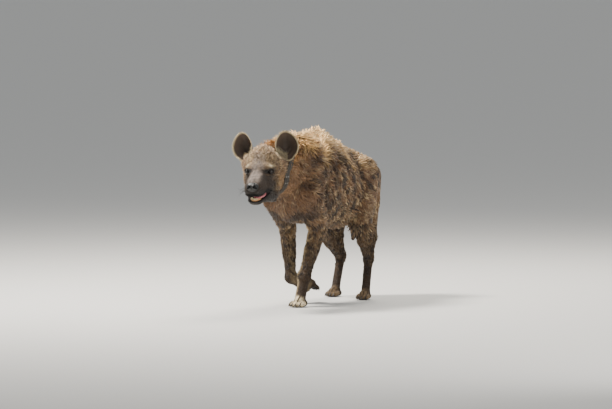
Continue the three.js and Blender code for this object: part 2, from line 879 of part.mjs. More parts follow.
function makeBackLocks() {

	const draw = seededDraw( 7 );
	const locks = [];
	for ( let y = coatRows.first; y <= coatRows.last; y += coatRows.step ) {

		for ( const angle of coatAngles ) {

			for ( const s of angle === 0 ? [ 1 ] : [ 1, - 1 ] ) {

				const turn = THREE.MathUtils.degToRad( angle + draw( - 7, 7 ) ) * s;
				const side = Math.abs( turn ) / Math.PI * 2;
				const mane = THREE.MathUtils.smoothstep( maneEnd - y, - 60, 60 ) * ( 1 - 0.75 * side );
				const lean = at( 0.75 * s * side, THREE.MathUtils.lerp( 1, - 1, mane ), - 1.1 * side );
				locks.push( makeLock( {
					mass: trunkMass,
					root: rootOn( y + draw( - 14, 14 ), turn ),
					lie: lean,
					stand: 0.07 + 0.3 * mane,
					length: 108 * draw( 0.85, 1.15 ),
					width: THREE.MathUtils.lerp( 50, 62, side ) * draw( 0.85, 1.15 ),
					thickness: THREE.MathUtils.lerp( 14, 12, side ),
				} ) );

			}

		}

	}

	return locks;

}

function makeCrestLocks() {

	const draw = seededDraw( 3 );
	const locks = [];
	for ( let y = crestRows.first; y <= crestRows.last; y += crestRows.step ) {

		for ( const angle of crestAngles ) {

			const turn = THREE.MathUtils.degToRad( angle + draw( - 4, 4 ) );
			locks.push( makeLock( {
				mass: trunkMass,
				root: rootOn( y + draw( - 8, 8 ), turn ),
				lie: at( Math.sin( turn ), - 1, 0 ),
				stand: angle ? 0.5 : 0.66,
				length: draw( 92, 116 ),
				width: draw( 50, 62 ),
				thickness: 15,
			} ) );

		}

	}

	return locks;

}

function makeCrownLocks() {

	const draw = seededDraw( 11 );
	return [ - 30, - 10, 12, 32 ].map( ( x, i ) => {

		const inside = onHead( x * 0.6, 96 + 8 * ( i % 2 ), 20 );
		const ray = onHead( x, 108, 90 ).sub( onHead( x * 0.6, 96, 20 ) ).normalize();
		const root = inside.clone().addScaledVector( ray, reachTo( headMass, inside, ray ) );
		return makeLock( {
			mass: headMass, root, lie: at( x * 0.01, 0.4, 0.2 ), stand: 0.8, length: draw( 46, 56 ), width: 30, thickness: 10 } );

	} );

}

function makeTailLocks() {

	const draw = seededDraw( 5 );
	const locks = [];
	for ( let ring = 0; ring < 3; ring ++ ) {

		for ( let i = 0; i < 5; i ++ ) {

			const turn = ( i + ring * 0.5 ) / 5 * Math.PI * 2;
			const v = 0.6 + ring * 0.13;
			const centre = tailSpine.getPoint( v );
			const mass = limb( tailSpine.getPoint( v - 0.1 ), tailSpine.getPoint( Math.min( 1, v + 0.1 ) ), 15, 13 );
			const ray = at( Math.cos( turn ), Math.sin( turn ), 0 );
			const root = centre.clone().addScaledVector( ray, reachTo( mass, centre, ray ) );
			locks.push( makeLock( {
				mass, root, lie: at( 0, - 0.1, - 1 ), stand: 0.16, length: draw( 92, 112 ), width: 26, thickness: 9 } ) );

		}

	}

	return locks;

}

// The flesh is joined, and then parted at the neck, the shoulders and the tops of the legs

const halves = ( solid, normal, offset ) => [
	solid.trimByPlane( normal.toArray(), offset + partingGap / 2 ),
	solid.trimByPlane( normal.clone().negate().toArray(), - offset + partingGap / 2 ),
];
const sole = 0;
const legTop = 334;
const headPlane = { normal: at( 0, - 1, 0 ), offset: 172 };
const neckPlane = { normal: at( 0, - 0.936, 0.351 ).normalize(), offset: 201 };
const foreWrist = 100;
const hindHock = 146;

const lockFree = joined( [ ...bothSides( makeEarRoom ), makeTailDock( 6 ) ] );

const flesh = joined( [
	makeTrunk(),
	makeHeadFlesh(),
	...Object.values( forelegs ).map( makeForelegFlesh ),
	...Object.values( hindlegs ).map( ( leg ) => makeHindlegFlesh( leg ) ),
	...Object.values( forelegs ).map( makeForepaw ),
	...Object.values( hindlegs ).map( makeHindpaw ),
	tubeAlong( upperLip, 5.5, 5, 14 ),
	tubeAlong( lowerLip, 5.5, 5, 14 ),
	...Object.values( eyes ).map( makeLids ),
	joined( [ ...makeBackLocks(), ...makeCrestLocks(), ...makeCrownLocks() ] ).subtract( lockFree ),
] ).trimByPlane( [ 0, 0, 1 ], sole );

const strapRoom = makeStrap( clear );
const [ headFlesh, body ] = halves( flesh, headPlane.normal, headPlane.offset );
const [ neckFlesh, trunkFlesh ] = halves( body, neckPlane.normal, neckPlane.offset );
const [ torsoFlesh, legsFlesh ] = halves( trunkFlesh, at( 0, 0, 1 ), legTop );

const pieces = {};
const tongueRoom = makeTongue( clear );
const eyeballs = Object.values( eyes );

pieces.head = headFlesh
	.subtract( sidePrism( jawOutline( 'upper', clear ) ) )
	.subtract( joined( eyeballs.map( makeLidOpening ) ) )
	.subtract( joined( eyeballs.map( ( eye ) => makeEyeball( eye, clear ) ) ) )
	.subtract( makeNose( clear ) )
	.subtract( makeGum( clear ) )
	.subtract( tongueRoom )
	.subtract( strapRoom );
pieces.jaw = headFlesh
	.intersect( sidePrism( jawOutline( 'lower', 0 ) ) )
	.subtract( makeGum( clear ) )
	.subtract( tongueRoom );
pieces.nose = makeNose().subtract( makeNostrils() );
pieces.teeth_lower = makeLowerTeeth();
pieces.tongue = makeTongue();
for ( const [ name, eye ] of Object.entries( eyes ) ) pieces[ `eye_${ name }` ] = makeEyeball( eye );

const headRoom = makeHeadFlesh( clear ).add( makeTrunk( clear ) );
const strapDisc = makeStrapDisc();
for ( const [ name, eye ] of Object.entries( eyes ) ) {

	pieces[ `ear_${ name }` ] = makeEar( eye.side ).add( makeEarRoot( eye.side ) )
		.subtract( headRoom )
		.subtract( strapDisc );

}

pieces.neck = neckFlesh.subtract( strapRoom );
const teats = makeTeats();
pieces.torso = torsoFlesh.add( teats );
const haunchRoom = joined( [
	makeTrunk( clear ), ...Object.values( hindlegs ).map( ( leg ) => makeHindlegFlesh( leg, clear ) ) ] );
pieces.tail = joined( [ makeTailDock(), ...makeTailLocks() ] ).subtract( haunchRoom );

// Each leg is the loose piece nearest to its paw

function nearestTo( solids, place ) {

	const distance = ( solid ) => {

		const { min, max } = solid.boundingBox();
		return Math.hypot( ( min[ 0 ] + max[ 0 ] ) / 2 - place.x, ( min[ 1 ] + max[ 1 ] ) / 2 - place.y );

	};

	return solids.reduce( ( best, solid ) => ( distance( solid ) < distance( best ) ? solid : best ) );

}

const looseLegs = legsFlesh.decompose().filter( ( solid ) => solid.volume() > 1e5 );
for ( const [ name, leg ] of Object.entries( forelegs ) ) {

	const limbFlesh = nearestTo( looseLegs, leg.wrist );
	const along = leg.planted ? at( 0, 0, - 1 ) : leg.paw.clone().sub( leg.wrist ).normalize();
	const start = leg.planted ? - foreWrist : along.dot( leg.wrist ) + 24;
	const [ paw, upper ] = halves( limbFlesh, along, start );
	pieces[ `foreleg_${ name }` ] = upper;
	pieces[ `forepaw_${ name }` ] = paw;

}

for ( const [ name, leg ] of Object.entries( hindlegs ) ) {

	const limbFlesh = nearestTo( looseLegs, leg.hock );
	const [ paw, upper ] = halves( limbFlesh, at( 0, 0, - 1 ), - hindHock );
	pieces[ `hindleg_${ name }` ] = upper;
	pieces[ `hindpaw_${ name }` ] = paw;

}

pieces.collar_strap = makeStrap();
pieces.collar_housing = makeHousing();

// Finishes

const finishes = {
	coat: { color: '#9a7a55', roughness: 0.95 },
	face: { color: '#86705a', roughness: 0.95 },
	legs: { color: '#4a3c31', roughness: 0.95 },
	ear: { color: '#4a3f3a', roughness: 0.9 },
	nose: { color: '#1c1a19', roughness: 0.4 },
	eye: { color: '#1a120c', roughness: 0.1 },
	tongue: { color: '#b0747a', roughness: 0.5 },
	tooth: { color: '#d8c8a0', roughness: 0.4 },
	strap: { color: '#4a4744', roughness: 0.7 },
};

function finishOf( name ) {

	if ( name.startsWith( 'eye' ) ) return 'eye';
	if ( name.startsWith( 'ear' ) ) return 'ear';
	if ( name.startsWith( 'collar' ) ) return 'strap';
	if ( name.startsWith( 'teeth' ) ) return 'tooth';
	if ( /^(fore|hind)/.test( name ) ) return 'legs';
	if ( name === 'head' || name === 'jaw' ) return 'face';
	if ( name === 'nose' || name === 'tongue' ) return name;
	return 'coat';

}

const hyena = new THREE.Group();
for ( const [ name, solid ] of Object.entries( pieces ) ) {

	const material = new THREE.MeshStandardMaterial( { ...finishes[ finishOf( name ) ], metalness: 0 } );
	const mesh = new THREE.Mesh( geometryFrom( largest( solid ) ), material );
	mesh.name = name;
	hyena.add( mesh );

}

// The origin is under the middle of the animal's box, on the floor

const box = new THREE.Box3().setFromObject( hyena );
const middle = box.getCenter( at( 0, 0, 0 ) );
hyena.position.set( - middle.x, - middle.y, - sole );

export default hyena;
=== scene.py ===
import math
import bmesh
import bpy
import numpy as np
from mathutils import Matrix, Vector


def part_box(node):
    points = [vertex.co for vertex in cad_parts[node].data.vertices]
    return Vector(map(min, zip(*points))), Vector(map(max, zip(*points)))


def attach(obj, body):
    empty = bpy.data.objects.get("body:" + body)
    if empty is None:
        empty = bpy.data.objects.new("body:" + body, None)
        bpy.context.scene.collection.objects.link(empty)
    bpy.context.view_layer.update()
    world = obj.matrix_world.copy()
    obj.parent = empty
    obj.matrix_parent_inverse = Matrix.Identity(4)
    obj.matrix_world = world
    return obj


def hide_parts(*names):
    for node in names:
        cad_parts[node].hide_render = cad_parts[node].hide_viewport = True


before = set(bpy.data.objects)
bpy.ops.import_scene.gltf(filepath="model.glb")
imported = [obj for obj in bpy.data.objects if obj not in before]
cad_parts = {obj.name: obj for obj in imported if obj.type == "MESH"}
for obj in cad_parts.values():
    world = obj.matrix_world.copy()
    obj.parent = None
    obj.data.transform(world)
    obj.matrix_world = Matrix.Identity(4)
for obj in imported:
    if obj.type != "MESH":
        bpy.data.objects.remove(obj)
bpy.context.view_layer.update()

# Shapes are worked out in the part's millimetres: the animal faces -Y, its left is +X, the floor is z = 0.
# toScene moves them to the frame, once the eyes have been found in both.


def hexToLinear(code):
    channels = [int(code[i:i + 2], 16) / 255 for i in (1, 3, 5)]
    return np.array([c / 12.92 if c <= 0.04045 else ((c + 0.055) / 1.055) ** 2.4 for c in channels])


def unit(v):
    v = np.asarray(v, float)
    return v / np.maximum(np.linalg.norm(v, axis=-1, keepdims=True), 1e-9)


def smooth(low, high, x):
    t = np.clip((x - low) / (high - low), 0, 1)
    return t * t * (3 - 2 * t)


def mix(a, b, t):
    t = np.asarray(t, float)
    if np.ndim(a) and np.ndim(t) == 1 and np.shape(a)[-1] == 3:
        t = t[:, None]
    return a + (b - a) * t


# Soft noise from a few turned waves, from -1 to 1

def waves(p, size, seed, octaves=3):
    draw = np.random.default_rng(seed)
    total = np.zeros(len(p))
    strength = 0.0
    for octave in range(octaves):
        for i in range(5):
            direction = unit(draw.normal(size=3)) * 2 * math.pi
            direction = direction / (size * 0.6 ** octave * draw.uniform(0.8, 1.3))
            total += np.sin(p @ direction + draw.uniform(0, 6.28)) * 0.7 ** octave
            strength += 0.5 * 0.49 ** octave
    return np.clip(total / math.sqrt(strength) * 0.5, -1, 1)


# Rounded masses, each with the box that it fills

def ball(centre, radii):
    c, r = np.array(centre, float), np.array(radii, float)

    def mass(p):
        scaled = (p - c) / r
        near = np.linalg.norm(scaled, axis=1)
        slope = np.linalg.norm(scaled / r, axis=1)
        return near * (near - 1) / np.maximum(slope, 1e-6)

    return mass, c - r, c + r, ("ball", c, r)


def limb(start, end, startRadius, endRadius):
    a, b = np.array(start, float), np.array(end, float)
    axis = b - a
    widest = max(startRadius, endRadius)

    def mass(p):
        t = np.clip((p - a) @ axis / (axis @ axis), 0, 1)
        radius = startRadius + (endRadius - startRadius) * t
        return np.linalg.norm(p - a - t[:, None] * axis, axis=1) - radius

    shape = ("limb", a, b, startRadius, endRadius)
    return mass, np.minimum(a, b) - widest, np.maximum(a, b) + widest, shape


farOff = 90.0    # beyond this a mass is not looked at


def joinSoftly(nearest, other, softness):
    h = np.clip(0.5 + 0.5 * (other - nearest) / softness, 0, 1)
    return other + (nearest - other) * h - softness * h * (1 - h)


def blended(masses, softness):
    def field(p):
        nearest = np.full(len(p), farOff)
        for mass, low, high, _ in masses:
            near = np.flatnonzero(((p > low - farOff) & (p < high + farOff)).all(axis=1))
            if len(near):
                nearest[near] = joinSoftly(nearest[near], mass(p[near]), softness)
        return nearest
    return field


def slopeOf(field, p, value, e=0.8):
    return np.stack([(field(p + np.eye(3)[k] * e) - value) / e for k in range(3)], axis=1)


def reachTo(field, start, direction, limit=420):
    start, direction = np.array(start, float), unit(direction)
    steps = np.arange(0, limit, 2.0)
    inside = field(start + steps[:, None] * direction) > 0
    far = steps[np.argmax(inside)]
    fine = far - 2 + np.arange(0, 2.05, 0.05)
    return fine[np.argmax(field(start + fine[:, None] * direction) > 0)]


# Head, in its own frame: origin between the eyes, -Y towards the nose

head = {
    "yaw": math.radians(14),
    "eyeLevel": (3, -302, 632),
    "eyeRadius": 14,
    "eyeSpacing": 112,
    "softness": 20,
}
headMatrix = np.array(Matrix.Translation(head["eyeLevel"]) @ Matrix.Rotation(head["yaw"], 4, "Z"))
headTurn = headMatrix[:3, :3]


def onHead(x, y, z):
    return headTurn @ np.array([x, y, z], float) + headMatrix[:3, 3]


def inHead(p):
    return (p - headMatrix[:3, 3]) @ headTurn


def placed(masses):
    result = []
    for mass, low, high, shape in masses:
        corners = np.array([onHead(x, y, z) for x in (low[0], high[0]) for y in (low[1], high[1])
                            for z in (low[2], high[2])])
        result.append((lambda p, mass=mass: mass(inHead(p)), corners.min(axis=0), corners.max(axis=0),
                       ("onHead",) + shape))
    return result


# a ball has its centre and radii, a limb its two ends and the radius at each
headMasses = [
    ball((0, 84, 22), (70, 90, 74)),              # skull
    ball((0, 86, 50), (48, 80, 56)),              # crown
    limb((0, 10, -16), (0, -106, -58), 44, 34),   # bridge of the muzzle
    ball((0, -58, -54), (45, 58, 36)),
    ball((0, 8, 12), (63, 42, 33)),               # brow
    limb((0, 40, -78), (0, -86, -88), 40, 30),    # palate
    ball((0, -84, -126), (28, 26, 20)),           # chin
]
for s in (1, -1):
    headMasses += [
        ball((46 * s, 86, -30), (40, 63, 66)),    # jaw muscle
        ball((65 * s, 106, 24), (33, 34, 42)),    # temple
        ball((42 * s, 34, -18), (27, 48, 32)),    # cheekbone
        ball((36 * s, 2, -74), (27, 44, 34)),     # cheek at the corner of the mouth
        ball((22 * s, -82, -78), (26, 54, 29)),   # upper lip
        limb((36 * s, 58, -99), (14 * s, -68, -126), 33, 18.5),    # lower jaw
        limb((54 * s, 98, 10), (93 * s, 148, 52), 32, 22),         # root of the ear
    ]
headField = blended(placed(headMasses), head["softness"])

eyes = {}
for name, s in (("left", 1), ("right", -1)):
    start = onHead(22 * s, 46, -6)
    gaze = unit(onHead(head["eyeSpacing"] / 2 * s, -8, 1) - start)
    centre = start + gaze * (reachTo(headField, start, gaze) - head["eyeRadius"] * 0.62)
    across = unit(np.cross((0, 0, 1), gaze))
    eyes[name] = {"side": s, "centre": centre, "gaze": gaze, "across": across,
                  "upward": np.cross(gaze, across)}

# the frame's origin stands elsewhere: the eyes' boxes tell where, in metres
offsets = []
for name, eye in eyes.items():
    low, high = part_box("eye_" + name)
    offsets.append((np.array(low) + np.array(high)) * 500 - eye["centre"])
shift = np.mean(offsets, axis=0)
shift[2] = 0
print("frame shift in mm", shift.round(2))


def toScene(p):
    return (np.asarray(p, float) + shift) / 1000


def fromScene(p):
    return np.asarray(p, float) * 1000 - shift


# Legs, from joint to joint

forelegs = {
    "left": {"side": 1, "blade": (62, 190, 700), "shoulder": (94, 5, 505), "elbow": (99, 92, 352),
             "wrist": (60, 32, 136), "paw": (54, 0, 0), "planted": True},
    "right": {"side": -1, "blade": (-62, 200, 700), "shoulder": (-85, 36, 500), "elbow": (-91, 158, 356),
              "wrist": (-76, 166, 122), "paw": (-38, 240, 74), "planted": False},
}
hindlegs = {
    "left": {"side": 1, "hip": (60, 620, 562), "knee": (108, 512, 368), "hock": (101, 604, 184),
             "paw": (112, 538, 0)},
    "right": {"side": -1, "hip": (-60, 628, 560), "knee": (-108, 532, 350), "hock": (-97, 712, 180),
              "paw": (-100, 650, 0)},
}
for leg in list(forelegs.values()) + list(hindlegs.values()):
    for key, value in leg.items():
        if isinstance(value, tuple):
            leg[key] = np.array(value, float)


def partWay(a, b, t):
    return a + (b - a) * t


trunkMasses = [
    ball((0, 92, 560), (100, 162, 182)),             # chest
    ball((0, 262, 550), (138, 262, 190)),            # ribs
    ball((0, 436, 500), (128, 200, 154)),            # belly
    ball((0, 606, 546), (108, 124, 112)),            # rump
    limb((0, 60, 710), (0, 240, 722), 46, 54),       # withers
    limb((0, 240, 714), (0, 590, 630), 56, 50),      # back
    limb((0, 70, 672), (-26, -170, 655), 90, 66),    # nape
    limb((0, 44, 580), (-24, -170, 602), 84, 76),    # throat
    ball((0, 16, 484), (70, 50, 82)),                # breast
]
for leg in forelegs.values():
    trunkMasses += [
        limb(leg["blade"], leg["shoulder"], 42, 46),
        limb(leg["shoulder"], partWay(leg["shoulder"], leg["elbow"], 0.7), 52, 42),
    ]
for leg in hindlegs.values():
    trunkMasses += [
        limb(leg["hip"], partWay(leg["hip"], leg["knee"], 0.7), 78, 62),
        limb(leg["hip"] + (0, 44, 0), leg["hip"] + (24 * leg["side"], 26, -120), 56, 50),
    ]

pawShape = {"foreSpread": 76, "foreLength": 90, "hindSpread": 60, "hindLength": 84, "toe": 12.5}
paws = []
for leg in forelegs.values():
    heading = np.array((-0.06, -1, 0)) if leg["planted"] else leg["paw"] - leg["wrist"] + (0, 0, 16)
    centre = leg["paw"] + ((0, -6, 0) if leg["planted"] else unit(heading) * 14)
    paws.append({"centre": centre, "heading": unit(heading), "claw": 15 if leg["planted"] else 9,
                 "spread": pawShape["foreSpread"], "length": pawShape["foreLength"]})
for leg in hindlegs.values():
    paws.append({"centre": leg["paw"], "heading": unit((0.08 * leg["side"], -1, 0)), "claw": 15,
                 "spread": pawShape["hindSpread"], "length": pawShape["hindLength"]})
for paw in paws:
    paw["across"] = unit(np.cross((0, 0, 1), paw["heading"]))
    paw["upward"] = np.cross(paw["heading"], paw["across"])


def onPaw(paw, x, y, z):
    return paw["centre"] + paw["across"] * x + paw["heading"] * y + paw["upward"] * z


def toeRoot(paw, toe):
    across = (toe - 1.5) / 1.5
    return across, across * paw["spread"] * 0.37, paw["length"] * (0.34 - 0.12 * across * across)


def pawMasses(paw):
    spread, length = paw["spread"], paw["length"]
    masses = [
        limb(onPaw(paw, side * spread * 0.14, -length * 0.3, 17),
             onPaw(paw, side * spread * 0.16, length * 0.02, 17), 17, 17)
        for side in (-1, 1)
    ]
    masses.append(limb(onPaw(paw, 0, -length * 0.2, 28), onPaw(paw, 0, length * 0.16, 26), 22, 20))
    for toe in range(4):
        across, x, y = toeRoot(paw, toe)
        lean = across * 0.14
        masses.append(limb(onPaw(paw, x + lean * 12, y - 12, 18),
                           onPaw(paw, x - lean * 10, y + length * 0.1, 13), pawShape["toe"], pawShape["toe"]))
    return masses


def forelegMasses(leg):
    knuckle = leg["paw"] + (0, 2, 34) if leg["planted"] else leg["paw"]
    stout = 1 if leg["planted"] else 0.92
    elbow, wrist = leg["elbow"], leg["wrist"]
    return [
        limb(leg["shoulder"], elbow, 48, 38),              # upper arm
        limb(elbow, wrist, 36 * stout, 27 * stout),        # forearm
        limb(partWay(elbow, wrist, 0.1), partWay(elbow, wrist, 0.55), 36 * stout, 28),
        limb(elbow, elbow + (0, 26, 16), 28, 20),          # point of the elbow
        ball(wrist, np.array((32, 32, 34)) * stout),
        limb(wrist, knuckle, 26, 26),
    ]


def hindlegMasses(leg):
    knuckle = leg["paw"] + (0, 12, 30)
    hip, knee, hock = leg["hip"], leg["knee"], leg["hock"]
    calf = partWay(knee, hock, 0.5) + (0, 40, 16)
    return [
        limb(hip, knee, 76, 48),                   # thigh
        limb(knee, hock, 46, 22),                  # shank
        limb(hip + (0, 58, 0), calf, 60, 38),      # back of the thigh
        limb(calf, hock + (0, 6, 12), 38, 20),
        limb(partWay(knee, hip, 0.3), partWay(knee, hock, 0.5), 56, 34),
        limb(hock, hock + (0, 18, 16), 21, 16),    # point of the hock
        limb(hock, knuckle, 21, 21),
    ]


tailPoints = [np.array(p, float) for p in
              ((0, 676, 600), (0, 744, 592), (0, 778, 545), (0, 786, 480), (0, 782, 400), (0, 772, 340))]
tailRadii = (24, 22, 19, 17, 15, 11)
teats = {"x": 38, "y": 566, "top": 380, "low": {1: 266, -1: 302}, "radius": 11.5}

# every part of the flesh, with the softness inside it and where it meets the rest
fieldParts = {
    "trunk": (blended(trunkMasses, 46), 46),
    "head": (headField, 24),
}
limbShapes = {}


def addPart(name, masses, within, outside):
    limbShapes[name] = masses
    fieldParts[name] = (blended(masses, within), outside)


for name, leg in forelegs.items():
    addPart("foreleg_" + name, forelegMasses(leg), 14, 22)
for name, leg in hindlegs.items():
    addPart("hindleg_" + name, hindlegMasses(leg), 14, 22)
addPart("tail", [limb(tailPoints[i], tailPoints[i + 1], tailRadii[i], tailRadii[i + 1])
                 for i in range(len(tailPoints) - 1)], 8, 18)
addPart("teats", [limb((teats["x"] * s, teats["y"], teats["top"]),
                       (teats["x"] * s, teats["y"] + 4, teats["low"][s] + teats["radius"]),
                       teats["radius"] * 1.5, teats["radius"] * 0.95) for s in (1, -1)], 6, 10)
for i, paw in enumerate(paws):
    addPart("paw_%d" % i, pawMasses(paw), 5, 10)

# Mouth: a wedge between the lips, with a rolled edge on each lip

mouth = {"cornerY": -6, "cornerZ": -82, "frontY": -172, "upper": -122, "lower": -143, "lipRadius": 4.8,
         "sideRadius": 3.8, "upperBend": 1.3, "lowerBend": 0.5}


def lipLevel(y, edge):
    t = np.maximum(0, (y - mouth["cornerY"]) / (mouth["frontY"] - mouth["cornerY"]))
    return mouth["cornerZ"] + (mouth[edge] - mouth["cornerZ"]) * t ** mouth[edge + "Bend"]


def lipCurve(edge, lift, inset):
    points = []
    for i in range(13):
        turn = -1 + i / 6
        bend = min(1, max(0, abs(turn) * 2 - 1))
        y = -84 + bend * (mouth["cornerY"] + 84)
        swing = min(1, abs(turn) * 2) * math.pi / 2 * math.copysign(1, turn)
        ray = headTurn @ np.array((math.sin(swing), -math.cos(swing), 0))
        start = onHead(0, y, lipLevel(y, edge))
        local = inHead(start + ray * (reachTo(headField, start, ray) - inset))
        points.append(onHead(local[0], local[1], lipLevel(local[1], edge) + lift))
    return points


lipCurves = {"upper": lipCurve("upper", 3.5, 3), "lower": lipCurve("lower", -3.5, 3)}
lipThickness = [mix(mouth["lipRadius"], mouth["sideRadius"], float(smooth(2, 4, abs(i - 6))))
                for i in range(13)]
lipMasses = [limb(points[i], points[i + 1], lipThickness[i], lipThickness[i + 1])
             for points in lipCurves.values() for i in range(12)]
lipField = blended(lipMasses, 5)


def mouthDepth(p):
    _, y, z = inHead(p).T
    return np.minimum(lipLevel(y, "upper") - z, z - lipLevel(y, "lower"))


# The surface of the flesh, with room for the eyes and the mouth

socket = {"rim": 3.2, "opening": (15, 10, 17), "ahead": 14, "softness": 9}


def fleshField(p):
    whole = np.full(len(p), farOff)
    for field, softness in fieldParts.values():
        whole = joinSoftly(whole, field(p), softness)
    onFace = np.flatnonzero(p[:, 1] < -150)
    if len(onFace):
        q = p[onFace]
        face = whole[onFace]
        for eye in eyes.values():
            offset = q - eye["centre"]
            near = np.linalg.norm(offset, axis=1)
            face = joinSoftly(face, near - head["eyeRadius"] - socket["rim"], socket["softness"])
            local = np.stack([offset @ eye["across"], offset @ eye["upward"],
                              offset @ eye["gaze"] - socket["ahead"]], axis=1) / socket["opening"]
            face = np.maximum(face, (1 - np.linalg.norm(local, axis=1)) * socket["softness"])
        face = np.maximum(face, mouthDepth(q))
        face = joinSoftly(face, lipField(q), 6)
        whole[onFace] = face
    return whole


coatDepth = {"trunk": 6.0, "leg": 2.2}    # how far the skin lies under the solids' surface


def regionsOf(p):
    near = {name: field(p) for name, (field, _) in fieldParts.items()}
    trunk = near["trunk"]
    legs = np.minimum.reduce([near[k] for k in near if "leg" in k or "paw" in k])
    trunkShare = smooth(-26, 10, legs - trunk) * smooth(300, 400, p[:, 2])
    trunkShare = trunkShare * smooth(-12, 14, near["head"] - trunk)
    return near, trunkShare


def meshFromArrays(name, vertices, triangles):
    mesh = bpy.data.meshes.new(name)
    mesh.vertices.add(len(vertices))
    mesh.vertices.foreach_set("co", np.ascontiguousarray(vertices, np.float32).ravel())
    mesh.loops.add(triangles.size)
    mesh.loops.foreach_set("vertex_index", np.ascontiguousarray(triangles, np.int32).ravel())
    mesh.polygons.add(len(triangles))
    mesh.polygons.foreach_set("loop_start", np.arange(0, triangles.size, 3, dtype=np.int32))
    mesh.update(calc_edges=True)
    mesh.shade_smooth()
    return mesh


def addObject(name, mesh):
    piece = bpy.data.objects.new(name, mesh)
    bpy.context.scene.collection.objects.link(piece)
    return piece


def fromBmesh(name, form, smoothShaded=True):
    mesh = bpy.data.meshes.new(name)
    form.to_mesh(mesh)
    form.free()
    if smoothShaded:
        mesh.shade_smooth()
    return addObject(name, mesh)


# Skin: every mass as a ball or a capsule, fused by a remesh, then drawn onto the field's surface

skinShape = {"voxel": 0.0062, "mouthWidth": 170, "finerBelow": 0.075, "finerRound": 0.07, "finerAhead": -190}


def capsule(form, start, end, startRadius, endRadius):
    axis = Vector(end - start)
    turn = axis.to_track_quat("Z", "Y").to_matrix().to_4x4()
    made = bmesh.ops.create_uvsphere(form, u_segments=20, v_segments=12, radius=1)
    for vertex in made["verts"]:
        atEnd = vertex.co.z > 0.001
        radius = endRadius if atEnd else startRadius
        spot = vertex.co * radius
        spot.z += axis.length if atEnd else 0
        vertex.co = (turn @ spot) + Vector(start)


print("skin: masses")
form = bmesh.new()
allShapes = [m[3] for m in trunkMasses] + [m[3] for k in limbShapes for m in limbShapes[k]]
allShapes += [m[3] for m in placed(headMasses)] + [m[3] for m in lipMasses]
for shape in allShapes:
    kind, rest = shape[0], shape[1:]
    turned = kind == "onHead"
    if turned:
        kind, rest = rest[0], rest[1:]
    if kind == "ball":
        made = bmesh.ops.create_uvsphere(form, u_segments=24, v_segments=16, radius=1)
        for vertex in made["verts"]:
            spot = rest[0] + np.array(vertex.co) * rest[1]
            vertex.co = Vector(onHead(*spot) if turned else spot)
    else:
        start, end = (onHead(*rest[0]), onHead(*rest[1])) if turned else rest[:2]
        capsule(form, start, end, rest[2], rest[3])
for vertex in form.verts:
    vertex.co = Vector(toScene(np.array(vertex.co)))
roughSkin = fromBmesh("roughSkin", form)

# the mouth's wedge, cut out of the fused masses
form = bmesh.new()
bmesh.ops.create_cube(form, size=1)
bmesh.ops.subdivide_edges(form, edges=form.edges[:], cuts=24, use_grid_fill=True)
for vertex in form.verts:
    along = mouth["cornerY"] + (mouth["frontY"] - 20 - mouth["cornerY"]) * (0.5 - vertex.co.y)
    upper, lower = lipLevel(along, "upper") + 0.6, lipLevel(along, "lower") - 0.6
    high = lower + (upper - lower) * (vertex.co.z + 0.5)
    vertex.co = Vector(toScene(onHead(vertex.co.x * skinShape["mouthWidth"], along, high)))
bmesh.ops.recalc_face_normals(form, faces=form.faces[:])
wedge = fromBmesh("wedge", form)
remesh = roughSkin.modifiers.new("fuse", "REMESH")
remesh.mode = "VOXEL"
remesh.voxel_size = skinShape["voxel"]
cut = roughSkin.modifiers.new("mouth", "BOOLEAN")
cut.operation = "DIFFERENCE"
cut.solver = "EXACT"
cut.object = wedge
depsgraph = bpy.context.evaluated_depsgraph_get()
fused = bpy.data.meshes.new_from_object(roughSkin.evaluated_get(depsgraph))
bpy.data.objects.remove(roughSkin)
bpy.data.objects.remove(wedge)

form = bmesh.new()
form.from_mesh(fused)
bpy.data.meshes.remove(fused)


def drawOnto(form, rounds):
    p = fromScene(np.array([v.co for v in form.verts]))
    depth = mix(coatDepth["leg"], coatDepth["trunk"], regionsOf(p)[1])
    for i in range(rounds):
        value = fleshField(p)
        slope = slopeOf(fleshField, p, value)
        size = np.maximum((slope ** 2).sum(axis=1), 0.3)
        p -= slope * (np.clip(value + depth, -9, 9) / size)[:, None]
    for vertex, spot in zip(form.verts, toScene(p)):
        vertex.co = spot


def finer(form, picks):
    edges = {edge for face in form.faces if picks(face.calc_center_median()) for edge in face.edges}
    bmesh.ops.subdivide_edges(form, edges=list(edges), cuts=1, use_grid_fill=True)


faceEnd = toScene((0, skinShape["finerAhead"], 0))[1]
liftedPaw = Vector(toScene(paws[1]["centre"]))
finer(form, lambda c: (c.y < faceEnd or c.z < skinShape["finerBelow"]
                       or (c - liftedPaw).length < skinShape["finerRound"]))
print("skin: vertices", len(form.verts))
drawOnto(form, 3)
for i in range(2):
    bmesh.ops.smooth_vert(form, verts=form.verts[:], factor=0.5,
                          use_axis_x=True, use_axis_y=True, use_axis_z=True)
drawOnto(form, 2)
for vertex in form.verts:
    vertex.co.z = max(vertex.co.z, 0.0004)
bmesh.ops.triangulate(form, faces=form.faces[:])
bmesh.ops.recalc_face_normals(form, faces=form.faces[:])
skin = fromBmesh("skin", form)
print("skin: triangles", len(skin.data.polygons))

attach(skin, "root")
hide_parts(*[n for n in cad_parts
                    if n.startswith(("head", "jaw", "neck", "torso", "tail", "fore", "hind"))])

# Markings: one function colours the skin and the roots of the coat

